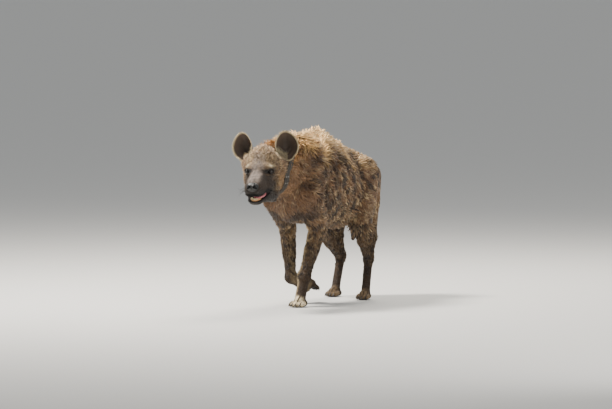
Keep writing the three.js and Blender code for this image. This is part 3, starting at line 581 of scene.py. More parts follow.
palette = {
    "paleBackAndSunlight": "#d9b074", "backBrown": "#604327", "flank": "#7c5b3e", "flankDark": "#533b29",
    "belly": "#7c5f3e", "neck": "#8c6947", "nape": "#b97f42", "pale": "#dcc294", "spot": "#20150f",
    "leg": "#46341f", "legDark": "#372718", "toe": "#91795a", "toePale": "#fbe8c0",
    "brow": "#9a815f", "crown": "#83633f", "face": "#7d6248", "cheek": "#97703f",
    "muzzle": "#2d2724", "muzzleTopGreyAndSunlit": "#7f7168", "lip": "#15110f", "mouthInside": "#a96669",
    "earBack": "#6e5439", "earInside": "#44382f", "earRim": "#e0cda6", "brush": "#2c2119", "teat": "#3a2c25",
}
tone = {name: hexToLinear(code) for name, code in palette.items()}


spotShape = {
    "body": {"rows": range(370, 720, 50), "columns": range(-30, 740, 54), "size": (13, 25), "missing": 0.14},
    "legs": {"rows": range(120, 352, 27), "columns": range(-20, 740, 31), "size": (6.5, 11)},
}


def spotCentres():
    draw = np.random.default_rng(21)
    body, legs = spotShape["body"], spotShape["legs"]
    spots = []
    for s in (1, -1):
        for row, z in enumerate(body["rows"]):
            for y in body["columns"]:
                if draw.uniform() < body["missing"]:
                    continue
                size = draw.uniform(*body["size"]) * (1.12 - 0.4 * smooth(250, 600, y))
                spots.append((s, y + draw.uniform(-18, 18) + row % 2 * 27, z + draw.uniform(-17, 17), size,
                              draw.uniform(1.0, 1.7), draw.uniform(0.7, 1)))
        for row, z in enumerate(legs["rows"]):
            for y in legs["columns"]:
                spots.append((s, y + draw.uniform(-9, 9) + row % 2 * 15, z + draw.uniform(-9, 9),
                              draw.uniform(*legs["size"]), draw.uniform(1.0, 1.6), draw.uniform(0.65, 1)))
    return np.array(spots)


spots = spotCentres()


def spotted(p, normal):
    depth = np.zeros(len(p))
    wobble = waves(p, 22, 31) * 4.5
    side = np.where(np.abs(normal[:, 0]) > 0.2, np.sign(normal[:, 0]), np.sign(p[:, 0]))
    for s, y, z, size, tall, dark in spots:
        near = np.flatnonzero((side == s) & (np.abs(p[:, 1] - y) < size * 2.2)
                              & (np.abs(p[:, 2] - z) < size * 3.4))
        if len(near):
            away = np.hypot(p[near, 1] - y, (p[near, 2] - z) / tall) + wobble[near]
            depth[near] = np.maximum(depth[near], dark * (1 - smooth(size * 0.6, size * 1.15, away)))
    return depth


# the toes of each paw: their tone and how far it covers the brown
toeTones = ((tone["toePale"], 0.95), (tone["legDark"], 0.8), (tone["toe"], 0.7), (tone["toe"], 0.7))


def markings(p, normal):
    near, _ = regionsOf(p)
    large, small = waves(p, 150, 3), waves(p, 34, 4)
    patch = waves(p * (1, 0.5, 1.2), 75, 6)
    streak = waves(p * (1, 0.7, 0.45) + p[:, [2, 0, 1]] * (0, 0, 0.3), 17, 5)
    # flanks in patches of two browns, a golden back, a ginger neck, and pale streaks all over. The brown and
    # golden bands follow how far the surface faces up: the golden top is partly the coat's own pale back,
    # partly painted sunlight.
    top = smooth(0.15, 0.85, normal[:, 2] + 0.16 * large) * smooth(500, 620, p[:, 2])
    c = mix(tone["flank"], tone["flankDark"], smooth(-0.1, 0.6, patch) * 0.8)
    low = 1 - smooth(400, 560, p[:, 2])
    c = mix(c, tone["belly"], low * 0.55)
    c = mix(c, tone["backBrown"], smooth(0.0, 0.45, top))
    # the golden top where the back faces up: partly its own coat, partly painted sunlight
    c = mix(c, tone["paleBackAndSunlight"], smooth(0.35, 0.9, top) * (0.95 - 0.6 * smooth(380, 600, p[:, 1])))
    c = mix(c, tone["pale"], smooth(0.15, 0.75, streak) * (0.42 + 0.2 * low) * smooth(-60, 120, p[:, 1]))
    neckShare = (1 - smooth(-120, 50, p[:, 1] + 30 * large)) * smooth(400, 520, p[:, 2] - 0.3 * p[:, 1])
    c = mix(c, tone["neck"], neckShare * 0.75 * (1 - 0.6 * smooth(0.3, 0.9, top)))
    c = mix(c, tone["flankDark"], smooth(0.2, 0.85, -streak) * 0.5)
    # painted shade: the breast is darker where it faces forward
    chest = smooth(0.3, 0.8, -normal[:, 1]) * (p[:, 1] > -120) * smooth(330, 420, p[:, 2])
    c = mix(c, tone["flankDark"] * 1.3, chest * 0.6)
    # legs darken towards the feet, and the inner front edges are pale: partly their own pale hair, partly
    # painted sunlight, stronger on the left legs, whose inner edges face the sun
    down = 1 - smooth(230, 440, p[:, 2] + 30 * large)
    legTone = mix(tone["legDark"], tone["leg"], smooth(70, 190, p[:, 2]))
    legTone = mix(legTone, tone["belly"], smooth(150, 320, p[:, 2]) * 0.34)
    legTone = mix(legTone, tone["legDark"], smooth(0.0, 0.6, small) * 0.4)
    c = mix(c, legTone, down)
    paleAndSunlitInnerEdge = smooth(0.15, 0.7, -normal[:, 0] * np.sign(p[:, 0])) * smooth(-0.2, 0.5, -normal[:, 1])
    c = mix(c, tone["pale"], paleAndSunlitInnerEdge * down * (p[:, 1] < 330) * np.where(p[:, 0] > 0, 0.5, 0.2))
    spotShare = spotted(p, normal) * (1 - 0.55 * smooth(0.45, 0.9, top)) * (1 - 0.85 * neckShare)
    c = mix(c, tone["spot"], spotShare * 0.94)
    # paws: the planted front one has the palest toes, with painted shade in the gaps between them
    for i, paw in enumerate(paws):
        ahead = (p - paw["centre"]) @ paw["heading"] + 9 * small
        share = (1 - smooth(2, 14, near["paw_%d" % i])) * smooth(-18, 16, ahead)
        toeTone, cover = toeTones[i]
        c = mix(c, mix(toeTone, tone["leg"], smooth(0.0, 0.8, small) * 0.7), share * cover)
        # painted shade in the gaps between the toes
        step = paw["spread"] * 0.37 * 2 / 3
        offset = np.abs(((p - paw["centre"]) @ paw["across"] / step + 0.5) % 1 - 0.5)
        c = mix(c, tone["legDark"], smooth(0.3, 0.42, offset) * share * smooth(0, 14, ahead))
        c = mix(c, tone["lip"], smooth(0.6, 0.9, -normal @ paw["upward"]) * (near["paw_%d" % i] < 6))
    c = mix(c, tone["brush"], (near["tail"] < 6) * (1 - smooth(470, 560, p[:, 2])) * 0.9)
    c = mix(c, tone["teat"], (near["teats"] < 4) * (1 - smooth(330, 352, p[:, 2])))
    # head: pale brow, dark muzzle, and a mottled crown and cheeks
    onFace = 1 - smooth(-12, 22, near["head"] - near["trunk"] * 0.4)
    onFace = onFace * (p[:, 1] < -120)
    h = inHead(p)
    sideways = np.abs(h[:, 0])
    mottle, fleck = waves(p * (1, 0.6, 0.8), 21, 12), waves(p, 12, 13)
    grey = waves(p * (1, 0.4, 0.7), 15, 14)
    f = mix(tone["cheek"], tone["face"], smooth(-50, 20, h[:, 2] + 14 * large))
    f = mix(f, tone["brow"], smooth(6, 50, h[:, 2]) * (1 - smooth(46, 72, sideways) * 0.7))
    f = mix(f, tone["crown"], smooth(52, 88, h[:, 2] + 8 * mottle) * 0.8)
    f = mix(f, tone["neck"], smooth(50, 100, h[:, 1]) * smooth(30, 60, sideways) * 0.4)
    f = mix(f, tone["flankDark"], smooth(0.1, 0.8, mottle) * smooth(-40, 30, h[:, 1]) * 0.45)
    f = mix(f, tone["pale"], smooth(0.15, 0.8, fleck - 0.4 * mottle) * smooth(-40, 20, h[:, 1]) * 0.36)
    flankOfFace = smooth(24, 40, sideways) * (1 - smooth(-30, 0, h[:, 2]))
    muzzle = 1 - smooth(-30, 42, h[:, 1] + 12 * small + 8 * fleck + 0.6 * (h[:, 2] + 60) - 42 * flankOfFace)
    f = mix(f, tone["muzzle"], muzzle * 0.93)
    # paler grey along the top of the muzzle: partly grey hair, partly painted sunlight on the bridge
    bridge = smooth(-66, -34, h[:, 2]) * (1 - smooth(20, 36, sideways)) * (1 - smooth(-6, 30, h[:, 1]))
    f = mix(f, tone["muzzleTopGreyAndSunlit"] * (1 + 0.1 * fleck + 0.5 * grey)[:, None],
            bridge * (0.88 - 0.4 * smooth(0, 0.6, mottle)))
    # darker under the jaw: partly the dark chin, partly painted shade
    darkChinAndShade = 1 - smooth(-112, -80, h[:, 2] + 0.2 * h[:, 1])
    f = mix(f, tone["muzzle"] * 0.8, darkChinAndShade * 0.9)
    # a dark line runs from the corner of the mouth up the cheek
    seam = np.exp(-((h[:, 2] + 92 - 0.85 * (h[:, 1] + 26)) / 9) ** 2) * smooth(-34, -14, h[:, 1])
    f = mix(f, tone["muzzle"], seam * (1 - smooth(10, 44, h[:, 1])) * smooth(24, 36, sideways) * 0.75)
    # each eye has a dark patch round it that runs towards the nose, and a pale spot above
    for eye in eyes.values():
        local = p - eye["centre"]
        x, z = local @ eye["across"] * eye["side"], local @ eye["upward"]
        inner = np.exp(-((x + 16) ** 2 / 640 + (z + 2 + 0.12 * x) ** 2 / 120))
        around = np.exp(-((x - 1) ** 2 / 420 + z ** 2 / 230))
        dark = np.clip(np.maximum(inner, around) * 1.6, 0, 0.97)
        f = mix(f, tone["lip"] * 1.3, dark * (h[:, 1] < 70))
        spot = np.exp(-((x - 4) ** 2 / 200 + (z - 25) ** 2 / 50))
        f = mix(f, tone["earRim"], np.clip(spot * 1.4, 0, 0.9))
    lips = 1 - smooth(2.5, 7, lipField(p))
    f = mix(f, tone["lip"], lips)
    inside = smooth(0.5, 3, mouthDepth(p) + 1.0) * (1 - lips * 0.9) * (h[:, 1] > -118) * (h[:, 1] < -20)
    f = mix(f, tone["mouthInside"], inside * (near["head"] < -5))
    return mix(c, f, onFace), near


def addAttribute(mesh, name, kind, values):
    layer = mesh.attributes.new(name, kind, "POINT")
    field = {"FLOAT_COLOR": "color", "FLOAT_VECTOR": "vector"}[kind]
    if kind == "FLOAT_COLOR":
        values = np.concatenate([values, np.ones((len(values), 1))], axis=1)
    layer.data.foreach_set(field, np.ascontiguousarray(values, np.float32).ravel())


def vertexArrays(mesh):
    count = len(mesh.vertices)
    spots, normals = np.empty(count * 3, np.float32), np.empty(count * 3, np.float32)
    mesh.vertices.foreach_get("co", spots)
    mesh.vertices.foreach_get("normal", normals)
    return fromScene(spots.reshape(-1, 3).astype(float)), normals.reshape(-1, 3).astype(float)


# Materials

def addNode(tree, kind, links=(), feeds=(), **settings):
    node = tree.nodes.new(kind)
    for key, value in settings.items():
        if hasattr(node, key):
            setattr(node, key, value)
        else:
            node.inputs[key.replace("_", " ")].default_value = value
    for source, outlet, inlet in links:
        tree.links.new(source.outputs[outlet], node.inputs[inlet])
    for outlet, target, inlet in feeds:
        tree.links.new(node.outputs[outlet], target.inputs[inlet])
    return node


def newMaterial(name, **settings):
    paint = bpy.data.materials.new(name)
    paint.use_nodes = True
    shader = paint.node_tree.nodes["Principled BSDF"]
    for key, value in settings.items():
        if key == "base":
            shader.inputs["Base Color"].default_value = (*hexToLinear(value), 1)
        else:
            shader.inputs[key.replace("_", " ")].default_value = value
    return paint, paint.node_tree, shader


# a pattern of a real spacing, in mm, roughens a surface by a real height
def roughen(tree, shader, kind, spacing, height, strength, outlet="Fac", **settings):
    place = addNode(tree, "ShaderNodeTexCoord")
    pattern = addNode(tree, kind, [(place, "Object", "Vector")], Scale=1000 / spacing, **settings)
    addNode(tree, "ShaderNodeBump", [(pattern, outlet, "Height")], [("Normal", shader, "Normal")],
            Strength=strength, Distance=height / 1000)
    return pattern


# the piece's own tones, darker where the pattern is low; the same pattern drives the bump, so the darkening
# is also painted shade in its hollows
def shadeTones(tree, shader, pattern, darkest):
    colour = addNode(tree, "ShaderNodeAttribute", attribute_name="coatTone")
    amount = addNode(tree, "ShaderNodeMapRange", [(pattern, "Fac", "Value")], From_Min=0.3, From_Max=0.7,
                     To_Min=darkest, To_Max=1.15)
    addNode(tree, "ShaderNodeVectorMath", [(colour, "Color", 0), (amount, "Result", "Scale")],
            [("Vector", shader, "Base Color")], operation="SCALE")


# Coarse dry hair: matt along its length, with a soft shine, and partings between the strands that are darker:
# partly the hair's own streaks, partly painted shade.
# The partings are drawn about 1.4 to a lock's width, coarser than single hairs of 0.1 mm, so that they show.
furPaint, tree, shader = newMaterial("coarseHair", Roughness=0.62, Specular_IOR_Level=0.3, Sheen_Weight=0.1,
                                     Sheen_Roughness=0.5)
strand = addNode(tree, "ShaderNodeAttribute", attribute_name="strand")
streaks = addNode(tree, "ShaderNodeTexNoise", [(strand, "Vector", "Vector")], Scale=2.6, Detail=3.0,
                  Roughness=0.7)
shadeTones(tree, shader, streaks, 0.55)
addNode(tree, "ShaderNodeBump", [(streaks, "Fac", "Height")], [("Normal", shader, "Normal")], Strength=0.5,
        Distance=0.0006)

# Skin under short hair: dull, with the hair itself drawn as a grain, coarser than life so that it shows
skinPaint, tree, shader = newMaterial("shortHairedSkin", Roughness=0.7, Specular_IOR_Level=0.28)
grain = roughen(tree, shader, "ShaderNodeTexNoise", 1.54, 0.8, 0.35, Detail=2.0, Roughness=0.6)
shadeTones(tree, shader, grain, 0.6)

skin.data.materials.append(skinPaint)
skinPlaces, skinNormals = vertexArrays(skin.data)
skinTones, skinNear = markings(skinPlaces, skinNormals)
addAttribute(skin.data, "coatTone", "FLOAT_COLOR", skinTones * 0.8)
print("skin: marked")

# Coat: closed three-sided locks rooted in the skin. Each is a few rings that taper to a tip.

ringsOf = {
    "long": ((0.0, 0.75), (0.34, 1.0), (0.72, 0.66)),
    "short": ((0.0, 0.9), (0.5, 0.85)),
}


keepOut = []    # the ears: a centre and a radius that no lock of the body reaches into
for eye in eyes.values():
    keepOut.append((onHead(101 * eye["side"], 122, 106), 62))


def growLocks(name, roots, normals, lie, length, width, lift, tones, tips, kind="long", curl=0.3, sway=0.12,
              slot="coat", sink=1.2, paint=furPaint, flatness=0.34, seed=1):
    draw = np.random.default_rng(seed)
    count = len(roots)
    length, width, lift = (np.broadcast_to(v, count).astype(float) for v in (length, width, lift))
    along = unit(lie - (lie * normals).sum(axis=1, keepdims=True) * normals)
    side = np.cross(normals, along)
    rings = ringsOf[kind]
    bend = draw.normal(0, sway, count)
    rows, marks = [], []
    random = draw.uniform(0, 40, count)
    column = (slice(None), None)

    def middle(s):
        rise = np.sin(lift) * s - 0.5 * curl * s * s
        return (roots - normals * sink + along * (length * np.cos(lift) * s)[column]
                + normals * (length * rise)[column] + side * (length * bend * s * s)[column])

    if slot != "ear":
        tipSpot, halfSpot = middle(1.0), middle(0.5)
        free = np.ones(count, bool)
        for centre, radius in keepOut:
            for spot in (tipSpot, halfSpot):
                free &= np.linalg.norm(spot - centre, axis=1) > radius
        roots, normals, along, side = (v[free] for v in (roots, normals, along, side))
        length, width, lift, bend = (v[free] for v in (length, width, lift, bend))
        random, tones, tips = (v[free] for v in (random, tones, tips))
        count = len(roots)
    for s, full in rings:
        centre, half = middle(s), (width * 0.5 * full)[column]
        rows += [centre - side * half, centre + side * half, centre + normals * half * 2 * flatness]
        marks += [(-1, s), (1, s), (0, s)]
    rows.append(middle(1.0))
    marks.append((0, 1))
    vertices = np.stack(rows, axis=1)
    per = vertices.shape[1]
    faces = [(0, 2, 1)]
    for k in range(len(rings) - 1):
        a, b = 3 * k, 3 * k + 3
        faces += [(a, a + 1, b + 1), (a, b + 1, b), (a + 1, a + 2, b + 2), (a + 1, b + 2, b + 1),
                  (a + 2, a, b), (a + 2, b, b + 2)]
    last, tip = 3 * len(rings) - 3, per - 1
    faces += [(last, last + 1, tip), (last + 1, last + 2, tip), (last + 2, last, tip)]
    faces = np.array(faces)
    triangles = (faces[None] + (np.arange(count) * per)[:, None, None]).reshape(-1, 3)
    mesh = meshFromArrays(name, toScene(vertices.reshape(-1, 3)), triangles)
    marks = np.array(marks, float)
    # painted shade: each lock is darker at its root, deep in the coat, and lighter towards its tip
    paintedRootShade = 0.62 + 0.5 * marks[:, 1]
    towardsTip = smooth(0.25, 1.0, marks[:, 1])
    colours = tones[:, None] * paintedRootShade[None, :, None]
    colours = colours + (tips[:, None] - colours) * towardsTip[None, :, None]
    addAttribute(mesh, "coatTone", "FLOAT_COLOR", colours.reshape(-1, 3))
    strandMarks = np.empty((count, per, 3))
    strandMarks[..., 0] = marks[None, :, 0] * 1.1
    strandMarks[..., 1] = marks[None, :, 1] * 0.45
    strandMarks[..., 2] = random[:, None]
    addAttribute(mesh, "strand", "FLOAT_VECTOR", strandMarks.reshape(-1, 3))
    # each lock bakes into a small patch at its root's place, on an unwrap round the body
    offset = roots - roots.mean(axis=0)
    upright = np.ptp(roots[:, 2]) > 1.4 * np.ptp(roots[:, 1])
    axis, other = (2, 1) if upright else (1, 2)
    turnAbout = np.arctan2(offset[:, 0], offset[:, other]) / (2 * math.pi) + 0.5
    spanned = (roots[:, axis] - roots[:, axis].min()) / max(np.ptp(roots[:, axis]), 1)
    patch = np.stack([turnAbout, spanned], axis=1)[:, None] * 0.99 + 0.003
    patch = patch + np.stack([marks[:, 0] * 0.0015, marks[:, 1] * 0.003 - 0.0015], axis=1)[None]
    layer = mesh.uv_layers.new(name="OFBake")
    layer.data.foreach_set("uv", patch.reshape(-1, 2)[triangles.ravel()].astype(np.float32).ravel())
    mesh.materials.append(paint)
    piece = addObject(name, mesh)
    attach(piece, "root")
    print(name, "triangles", len(triangles))
    return piece


def triangleArrays(mesh):
    corners = np.empty(len(mesh.polygons) * 3, np.int32)
    mesh.polygons.foreach_get("vertices", corners)
    return corners.reshape(-1, 3)


skinCorners = triangleArrays(skin.data)
a, b, c = (skinPlaces[skinCorners[:, k]] for k in range(3))
skinAreas = np.linalg.norm(np.cross(b - a, c - a), axis=1) / 2
skinCentres = (a + b + c) / 3
centreNormals = unit(skinNormals[skinCorners].sum(axis=1))
centreNear = {name: values[skinCorners].mean(axis=1) for name, values in skinNear.items()}


def pickRoots(weight, count, seed):
    draw = np.random.default_rng(seed)
    chance = skinAreas * np.maximum(weight, 0)
    count = min(count, int((chance > 0).sum() * 0.95))
    chosen = draw.choice(len(chance), count, replace=False, p=chance / chance.sum())
    share = draw.uniform(size=(count, 2))
    flip = share.sum(axis=1) > 1
    share[flip] = 1 - share[flip]
    share = np.concatenate([share, 1 - share.sum(axis=1, keepdims=True)], axis=1)[..., None]
    corners = skinCorners[chosen]
    roots = (skinPlaces[corners] * share).sum(axis=1)
    return roots, unit((skinNormals[corners] * share).sum(axis=1)), chosen


def tousled(lie, normals, roots, amount, seed, fine=0.18):
    draw = np.random.default_rng(seed)
    angle = waves(roots, 80, seed) * amount + draw.normal(0, fine, len(roots))
    flat = unit(lie - (lie * normals).sum(axis=1, keepdims=True) * normals)
    side = np.cross(normals, flat)
    return flat * np.cos(angle)[:, None] + side * np.sin(angle)[:, None]


def lockTones(roots, normals, seed, spread=0.2, paleTips=0.3):
    draw = np.random.default_rng(seed)
    tones, _ = markings(roots, normals)
    tones = tones * np.exp(draw.normal(0, spread, len(roots)) + 0.16 * waves(roots, 15, seed + 3))[:, None]
    streak = smooth(0.25, 0.9, waves(roots * (1, 0.45, 1), 26, seed + 9)) * smooth(0.02, 0.08, tones[:, 1])
    light = mix(tones, tone["pale"], 0.3 * streak * (draw.uniform(size=len(roots)) < 0.6))
    tips = light * (1 + paleTips * draw.uniform(0.2, 1.3, len(roots)))[:, None]
    return light, tips


x, y, z = skinCentres.T
ridge = np.degrees(np.arctan2(np.abs(x - np.where(y < 0, y * 0.16, 0)), z - 575))
nearLegs = np.minimum.reduce([centreNear[k] for k in centreNear if "leg" in k or "paw" in k])
isTrunk = (nearLegs > -16) | (z > 330)
isTrunk &= (centreNear["trunk"] < centreNear["head"] + 4) & (centreNear["tail"] > -4)
isTrunk &= (z > 300) & (y > -128)
isHead = ~isTrunk & (y < -100) & (z > 400)
isTail = ~isTrunk & ~isHead & (centreNear["tail"] < 4) & (y > 690)
isTeat = (centreNear["teats"] < 1) & (z < 340)
isPaw = np.minimum.reduce([centreNear["paw_%d" % i] for i in range(4)]) < 2
isLeg = ~isTrunk & ~isHead & ~isTail & ~isTeat
edge = 38 * waves(skinCentres, 75, 17)
underStrap = (y > -176) & (y < -122) & (z > 480) & (np.hypot(x + 24, z - 626) < 120)


def trunkLie(p, n):
    side = np.sign(p[:, 0])
    top = smooth(0.2, 0.9, n[:, 2])
    back = np.stack([0.2 * side * (1 - top), 1 + 0 * top, -0.12 - 0.8 * (1 - top)], axis=1)
    rump = smooth(540, 680, p[:, 1])
    back = mix(back, np.stack([0.1 * side, 0.5 + 0 * side, -1 + 0 * side], axis=1), rump * (1 - 0.4 * top))
    breast = smooth(0.35, 0.8, -n[:, 1])
    back = mix(back, np.stack([0.25 * side, 0.1 + 0 * side, -1 + 0 * side], axis=1), breast)
    below = np.stack([0 * side, 1 + 0 * side, -0.1 + 0 * side], axis=1)
    return mix(back, below, smooth(0.5, 0.9, -n[:, 2]))


left = x > 0
wholeSide = ridge >= 48
haunch = (ridge >= 60) & (y >= 470)
flank = wholeSide & (y >= 60 + edge) & (y < 470)
neckEnd = np.where(wholeSide, 60 + edge, 60)

# the body's coat: lengths and widths in mm, lifts in radians
bodyCoat = {
    "coat_back_front": {"where": ~wholeSide & (y >= 60) & (y < 360), "count": 7900, "length": 56,
                        "width": 7.5, "lift": 0.44, "paleTips": 0.2},
    "coat_back_rear": {"where": (ridge < 60) & (y >= 360), "count": 7600, "length": 46, "width": 7.0,
                       "lift": 0.36, "paleTips": 0.2},
    "coat_flank_left": {"where": flank & left, "count": 8300, "length": 38, "width": 6.6, "lift": 0.28},
    "coat_flank_right": {"where": flank & ~left, "count": 8300, "length": 38, "width": 6.6, "lift": 0.28},
    "coat_haunch_left": {"where": haunch & left, "count": 9000, "length": 25, "width": 5.2, "lift": 0.22,
                         "kind": "short"},
    "coat_haunch_right": {"where": haunch & ~left, "count": 9000, "length": 25, "width": 5.2, "lift": 0.22,
                          "kind": "short"},
    "coat_neck": {"where": y < neckEnd, "count": 8500, "length": 42, "width": 6.4, "lift": 0.3},
}
for seed, (name, coat) in enumerate(bodyCoat.items(), 1):
    roots, normals, _ = pickRoots(coat["where"] & isTrunk & ~underStrap & ~isTeat, coat["count"], seed)
    draw = np.random.default_rng(seed + 50)
    # shorter towards the legs, at the throat and on the rump
    low = smooth(310, 430, roots[:, 2])
    size = (coat["length"] * 0.4 + coat["length"] * 0.6 * low) * draw.uniform(0.7, 1.25, len(roots))
    size *= 1 - 0.5 * (1 - smooth(-90, 30, roots[:, 1])) * (1 - smooth(540, 640, roots[:, 2]))
    size *= 1 - 0.35 * smooth(540, 660, roots[:, 1])
    lie = tousled(trunkLie(roots, normals), normals, roots, 0.45, seed)
    tones, tips = lockTones(roots, normals, seed, paleTips=coat.get("paleTips", 0.35))
    growLocks(name, roots, normals, lie, size, coat["width"] * draw.uniform(0.7, 1.3, len(roots)),
              coat["lift"] * draw.uniform(0.5, 1.5, len(roots)), tones, tips, kind=coat.get("kind", "long"),
              seed=seed)

# long hair hangs under the belly
bellyCoat = {"count": 2800, "length": (26, 48), "width": 6.0, "lift": (0.5, 1.0)}
under = isTrunk & (centreNormals[:, 2] < -0.25) & (y > 200) & (y < 590) & (z < 430) & ~isTeat
roots, normals, _ = pickRoots(under, bellyCoat["count"], 9)
draw = np.random.default_rng(82)
lie = tousled(np.tile((0.0, 0.8, -0.6), (len(roots), 1)), normals, roots, 0.3, 9)
tones, tips = lockTones(roots, normals, 9)
size = draw.uniform(*bellyCoat["length"], len(roots)) * (0.6 + 0.4 * smooth(260, 460, roots[:, 1]))
growLocks("coat_belly", roots, normals, lie, size, bellyCoat["width"] * draw.uniform(0.7, 1.3, len(roots)),
          draw.uniform(*bellyCoat["lift"], len(roots)), tones, tips, seed=9)

# the mane stands on the neck and withers, leaning forwards at the nape, where it covers the belt
mane = {"count": 6000, "length": 52, "extraLength": 26, "width": 6.8, "lift": 0.42, "extraLift": 0.33}
overBelt = isTrunk & (ridge < 30) & (y < 240)
roots, normals, _ = pickRoots(overBelt * (1.7 - ridge / 30) * (1 + 2.2 * (y < -60)), mane["count"], 8)
draw = np.random.default_rng(80)
forward = 1 - smooth(-20, 150, roots[:, 1])
lie = np.stack([np.sign(roots[:, 0]) * 0.25, 1 - 1.9 * forward, 0.1 + 0 * forward], axis=1)
lie = tousled(lie, normals, roots, 0.5, 8, 0.3)
tones, tips = lockTones(roots, normals, 8, paleTips=0.75)
nape = 0.6 * (1 - smooth(-90, 10, roots[:, 1]))
tones, tips = mix(tones, tone["nape"], nape), mix(tips, tone["nape"] * 1.2, nape)
size = (mane["length"] + mane["extraLength"] * (1 - smooth(40, 200, roots[:, 1]))) \
    * draw.uniform(0.65, 1.15, len(roots))
width = mane["width"] * draw.uniform(0.6, 1.3, len(roots))
lift = (mane["lift"] + mane["extraLift"] * (1 - smooth(40, 180, roots[:, 1]))) \
    * draw.uniform(0.6, 1.15, len(roots))
growLocks("coat_mane", roots, normals, lie, size, width, lift, tones, tips, curl=0.45, seed=8)


def legLie(p, n):
    down = np.tile((0.0, 0.1, -1.0), (len(p), 1))
    wrist, lifted = forelegs["right"]["wrist"], forelegs["right"]["paw"]
    down[np.linalg.norm(p - partWay(wrist, lifted, 0.5), axis=1) < 95] = unit(lifted - wrist)
    for paw in paws:
        local = p - paw["centre"]
        close = (np.abs(local @ paw["heading"]) < 60) & (np.abs(local @ paw["across"]) < 50)
        close &= local @ paw["upward"] < 48
        down[close] = unit(paw["heading"] - paw["upward"] * 0.35)
    return down


legCoat = {"count": 9600, "length": 9, "extraLength": 10, "width": 2.9, "pawLength": 6.0, "pawWidth": 1.9,
           "tufts": 0.35}


def growLegs(name, mask, count, seed):
    roots, normals, chosen = pickRoots(mask & isLeg & (skinCentres[:, 2] > 3), count, seed)
    draw = np.random.default_rng(seed + 50)
    onPaws = isPaw[chosen]
    tuft = (draw.uniform(size=len(roots)) < legCoat["tufts"]) & ~onPaws & (roots[:, 2] > 150)
    size = legCoat["length"] + legCoat["extraLength"] * smooth(120, 380, roots[:, 2])
    size = np.where(onPaws, legCoat["pawLength"], size) * draw.uniform(0.7, 1.25, len(roots))
    width = np.where(onPaws, legCoat["pawWidth"], legCoat["width"]) * draw.uniform(0.8, 1.2, len(roots))
    tones, tips = lockTones(roots, normals, seed, spread=0.2, paleTips=0.3)
    lie = tousled(legLie(roots, normals), normals, roots, 0.3, seed, 0.16)
    growLocks(name, roots, normals, lie, size * np.where(tuft, 1.3, 1), width * np.where(tuft, 1.6, 1),
              np.where(tuft, 0.3, 0.16) * draw.uniform(0.4, 1.6, len(roots)), tones, tips, kind="short",
              slot="leg_fur", seed=seed, sink=0.6)


growLegs("coat_forelegs", skinCentres[:, 1] < 330, legCoat["count"], 11)
growLegs("coat_hindlegs", skinCentres[:, 1] >= 330, legCoat["count"], 12)

# head: short hair, kept clear of the lips, the nose and the eyes
headCoat = {"count": 10600, "faceTufts": 0.4, "cheekTufts": 0.55, "earFootCount": 700}
h = inHead(skinCentres)
blank = (lipField(skinCentres) < 4.5) | (mouthDepth(skinCentres) > -1) & (centreNear["head"] < -4)
noseGap = np.linalg.norm((h - (0, -131, -60)) / (33, 26, 30), axis=1) < 1
eyeGap = np.minimum.reduce([np.linalg.norm(skinCentres - e["centre"], axis=1) for e in eyes.values()]) < 19.5


def growHead(name, mask, count, seed, tuftShare):
    free = isHead & mask & ~blank & ~noseGap & ~eyeGap & ~underStrap
    roots, normals, _ = pickRoots(free * (1 + 0.9 * (h[:, 1] < 0)), count, seed)
    draw = np.random.default_rng(seed + 50)
    q = inHead(roots)
    s = np.sign(q[:, 0])
    wide = np.abs(q[:, 0])
    fall = 0.15 - 0.7 * (1 - smooth(-70, -5, q[:, 2]))
    lie = np.stack([s * 0.35 * smooth(0, 30, wide), 1 + 0 * s, fall], axis=1)
    lie = tousled(lie @ headTurn.T, normals, roots, 0.45, seed, 0.2)
    rear = smooth(-24, 50, q[:, 1])
    crown = smooth(30, 80, q[:, 2])
    tuft = (draw.uniform(size=len(roots)) < tuftShare * rear) & (q[:, 1] > -20)
    size = 5.4 + 5 * smooth(-70, 0, q[:, 1]) + 5 * rear + 4 * crown
    size = size * np.where(tuft, 1.45 + 0.3 * crown, 1) * draw.uniform(0.75, 1.3, len(roots))
    width = (1.5 + 1.3 * smooth(-70, 40, q[:, 1])) * np.where(tuft, 1.6 - 0.3 * crown, 1)
    width = width * draw.uniform(0.7, 1.3, len(roots))
    lift = (0.18 + 0.1 * rear + np.where(tuft, 0.12, 0) - 0.06 * crown) * draw.uniform(0.5, 1.5, len(roots))
    tones, tips = lockTones(roots, normals, seed, spread=0.24, paleTips=0.28)
    growLocks(name, roots, normals, lie, size, width, lift, tones, tips, kind="short", slot="face_fur",
              seed=seed, sink=0.5)


# a tuft of long greyish hair rises from the foot of each ear, before its opening
for name, eye in eyes.items():
    s = eye["side"]
    foot = np.linalg.norm((h - (68 * s, 118, 46)) / (30, 44, 50), axis=1)
    roots, normals, _ = pickRoots(isHead * (foot < 1) * (1.2 - foot), headCoat["earFootCount"], 23)
    draw = np.random.default_rng(83)
    lie = np.tile(headTurn @ unit((0.55 * s, -0.05, 1)), (len(roots), 1))
    tones, tips = lockTones(roots, normals, 23, spread=0.2, paleTips=0.3)
    tones, tips = mix(tones, tone["earRim"] * 0.5, 0.4), mix(tips, tone["earRim"], 0.45)
    growLocks("coat_ear_foot_" + name, roots, normals, tousled(lie, normals, roots, 0.3, 23),
              draw.uniform(15, 30, len(roots)), draw.uniform(2.2, 3.6, len(roots)),
              draw.uniform(0.15, 0.5, len(roots)), tones, tips, kind="short", slot="ear", seed=23, sink=0.6)

growHead("coat_face", h[:, 1] < 30, headCoat["count"], 21, headCoat["faceTufts"])
growHead("coat_cheeks", h[:, 1] >= 30, headCoat["count"], 22, headCoat["cheekTufts"])

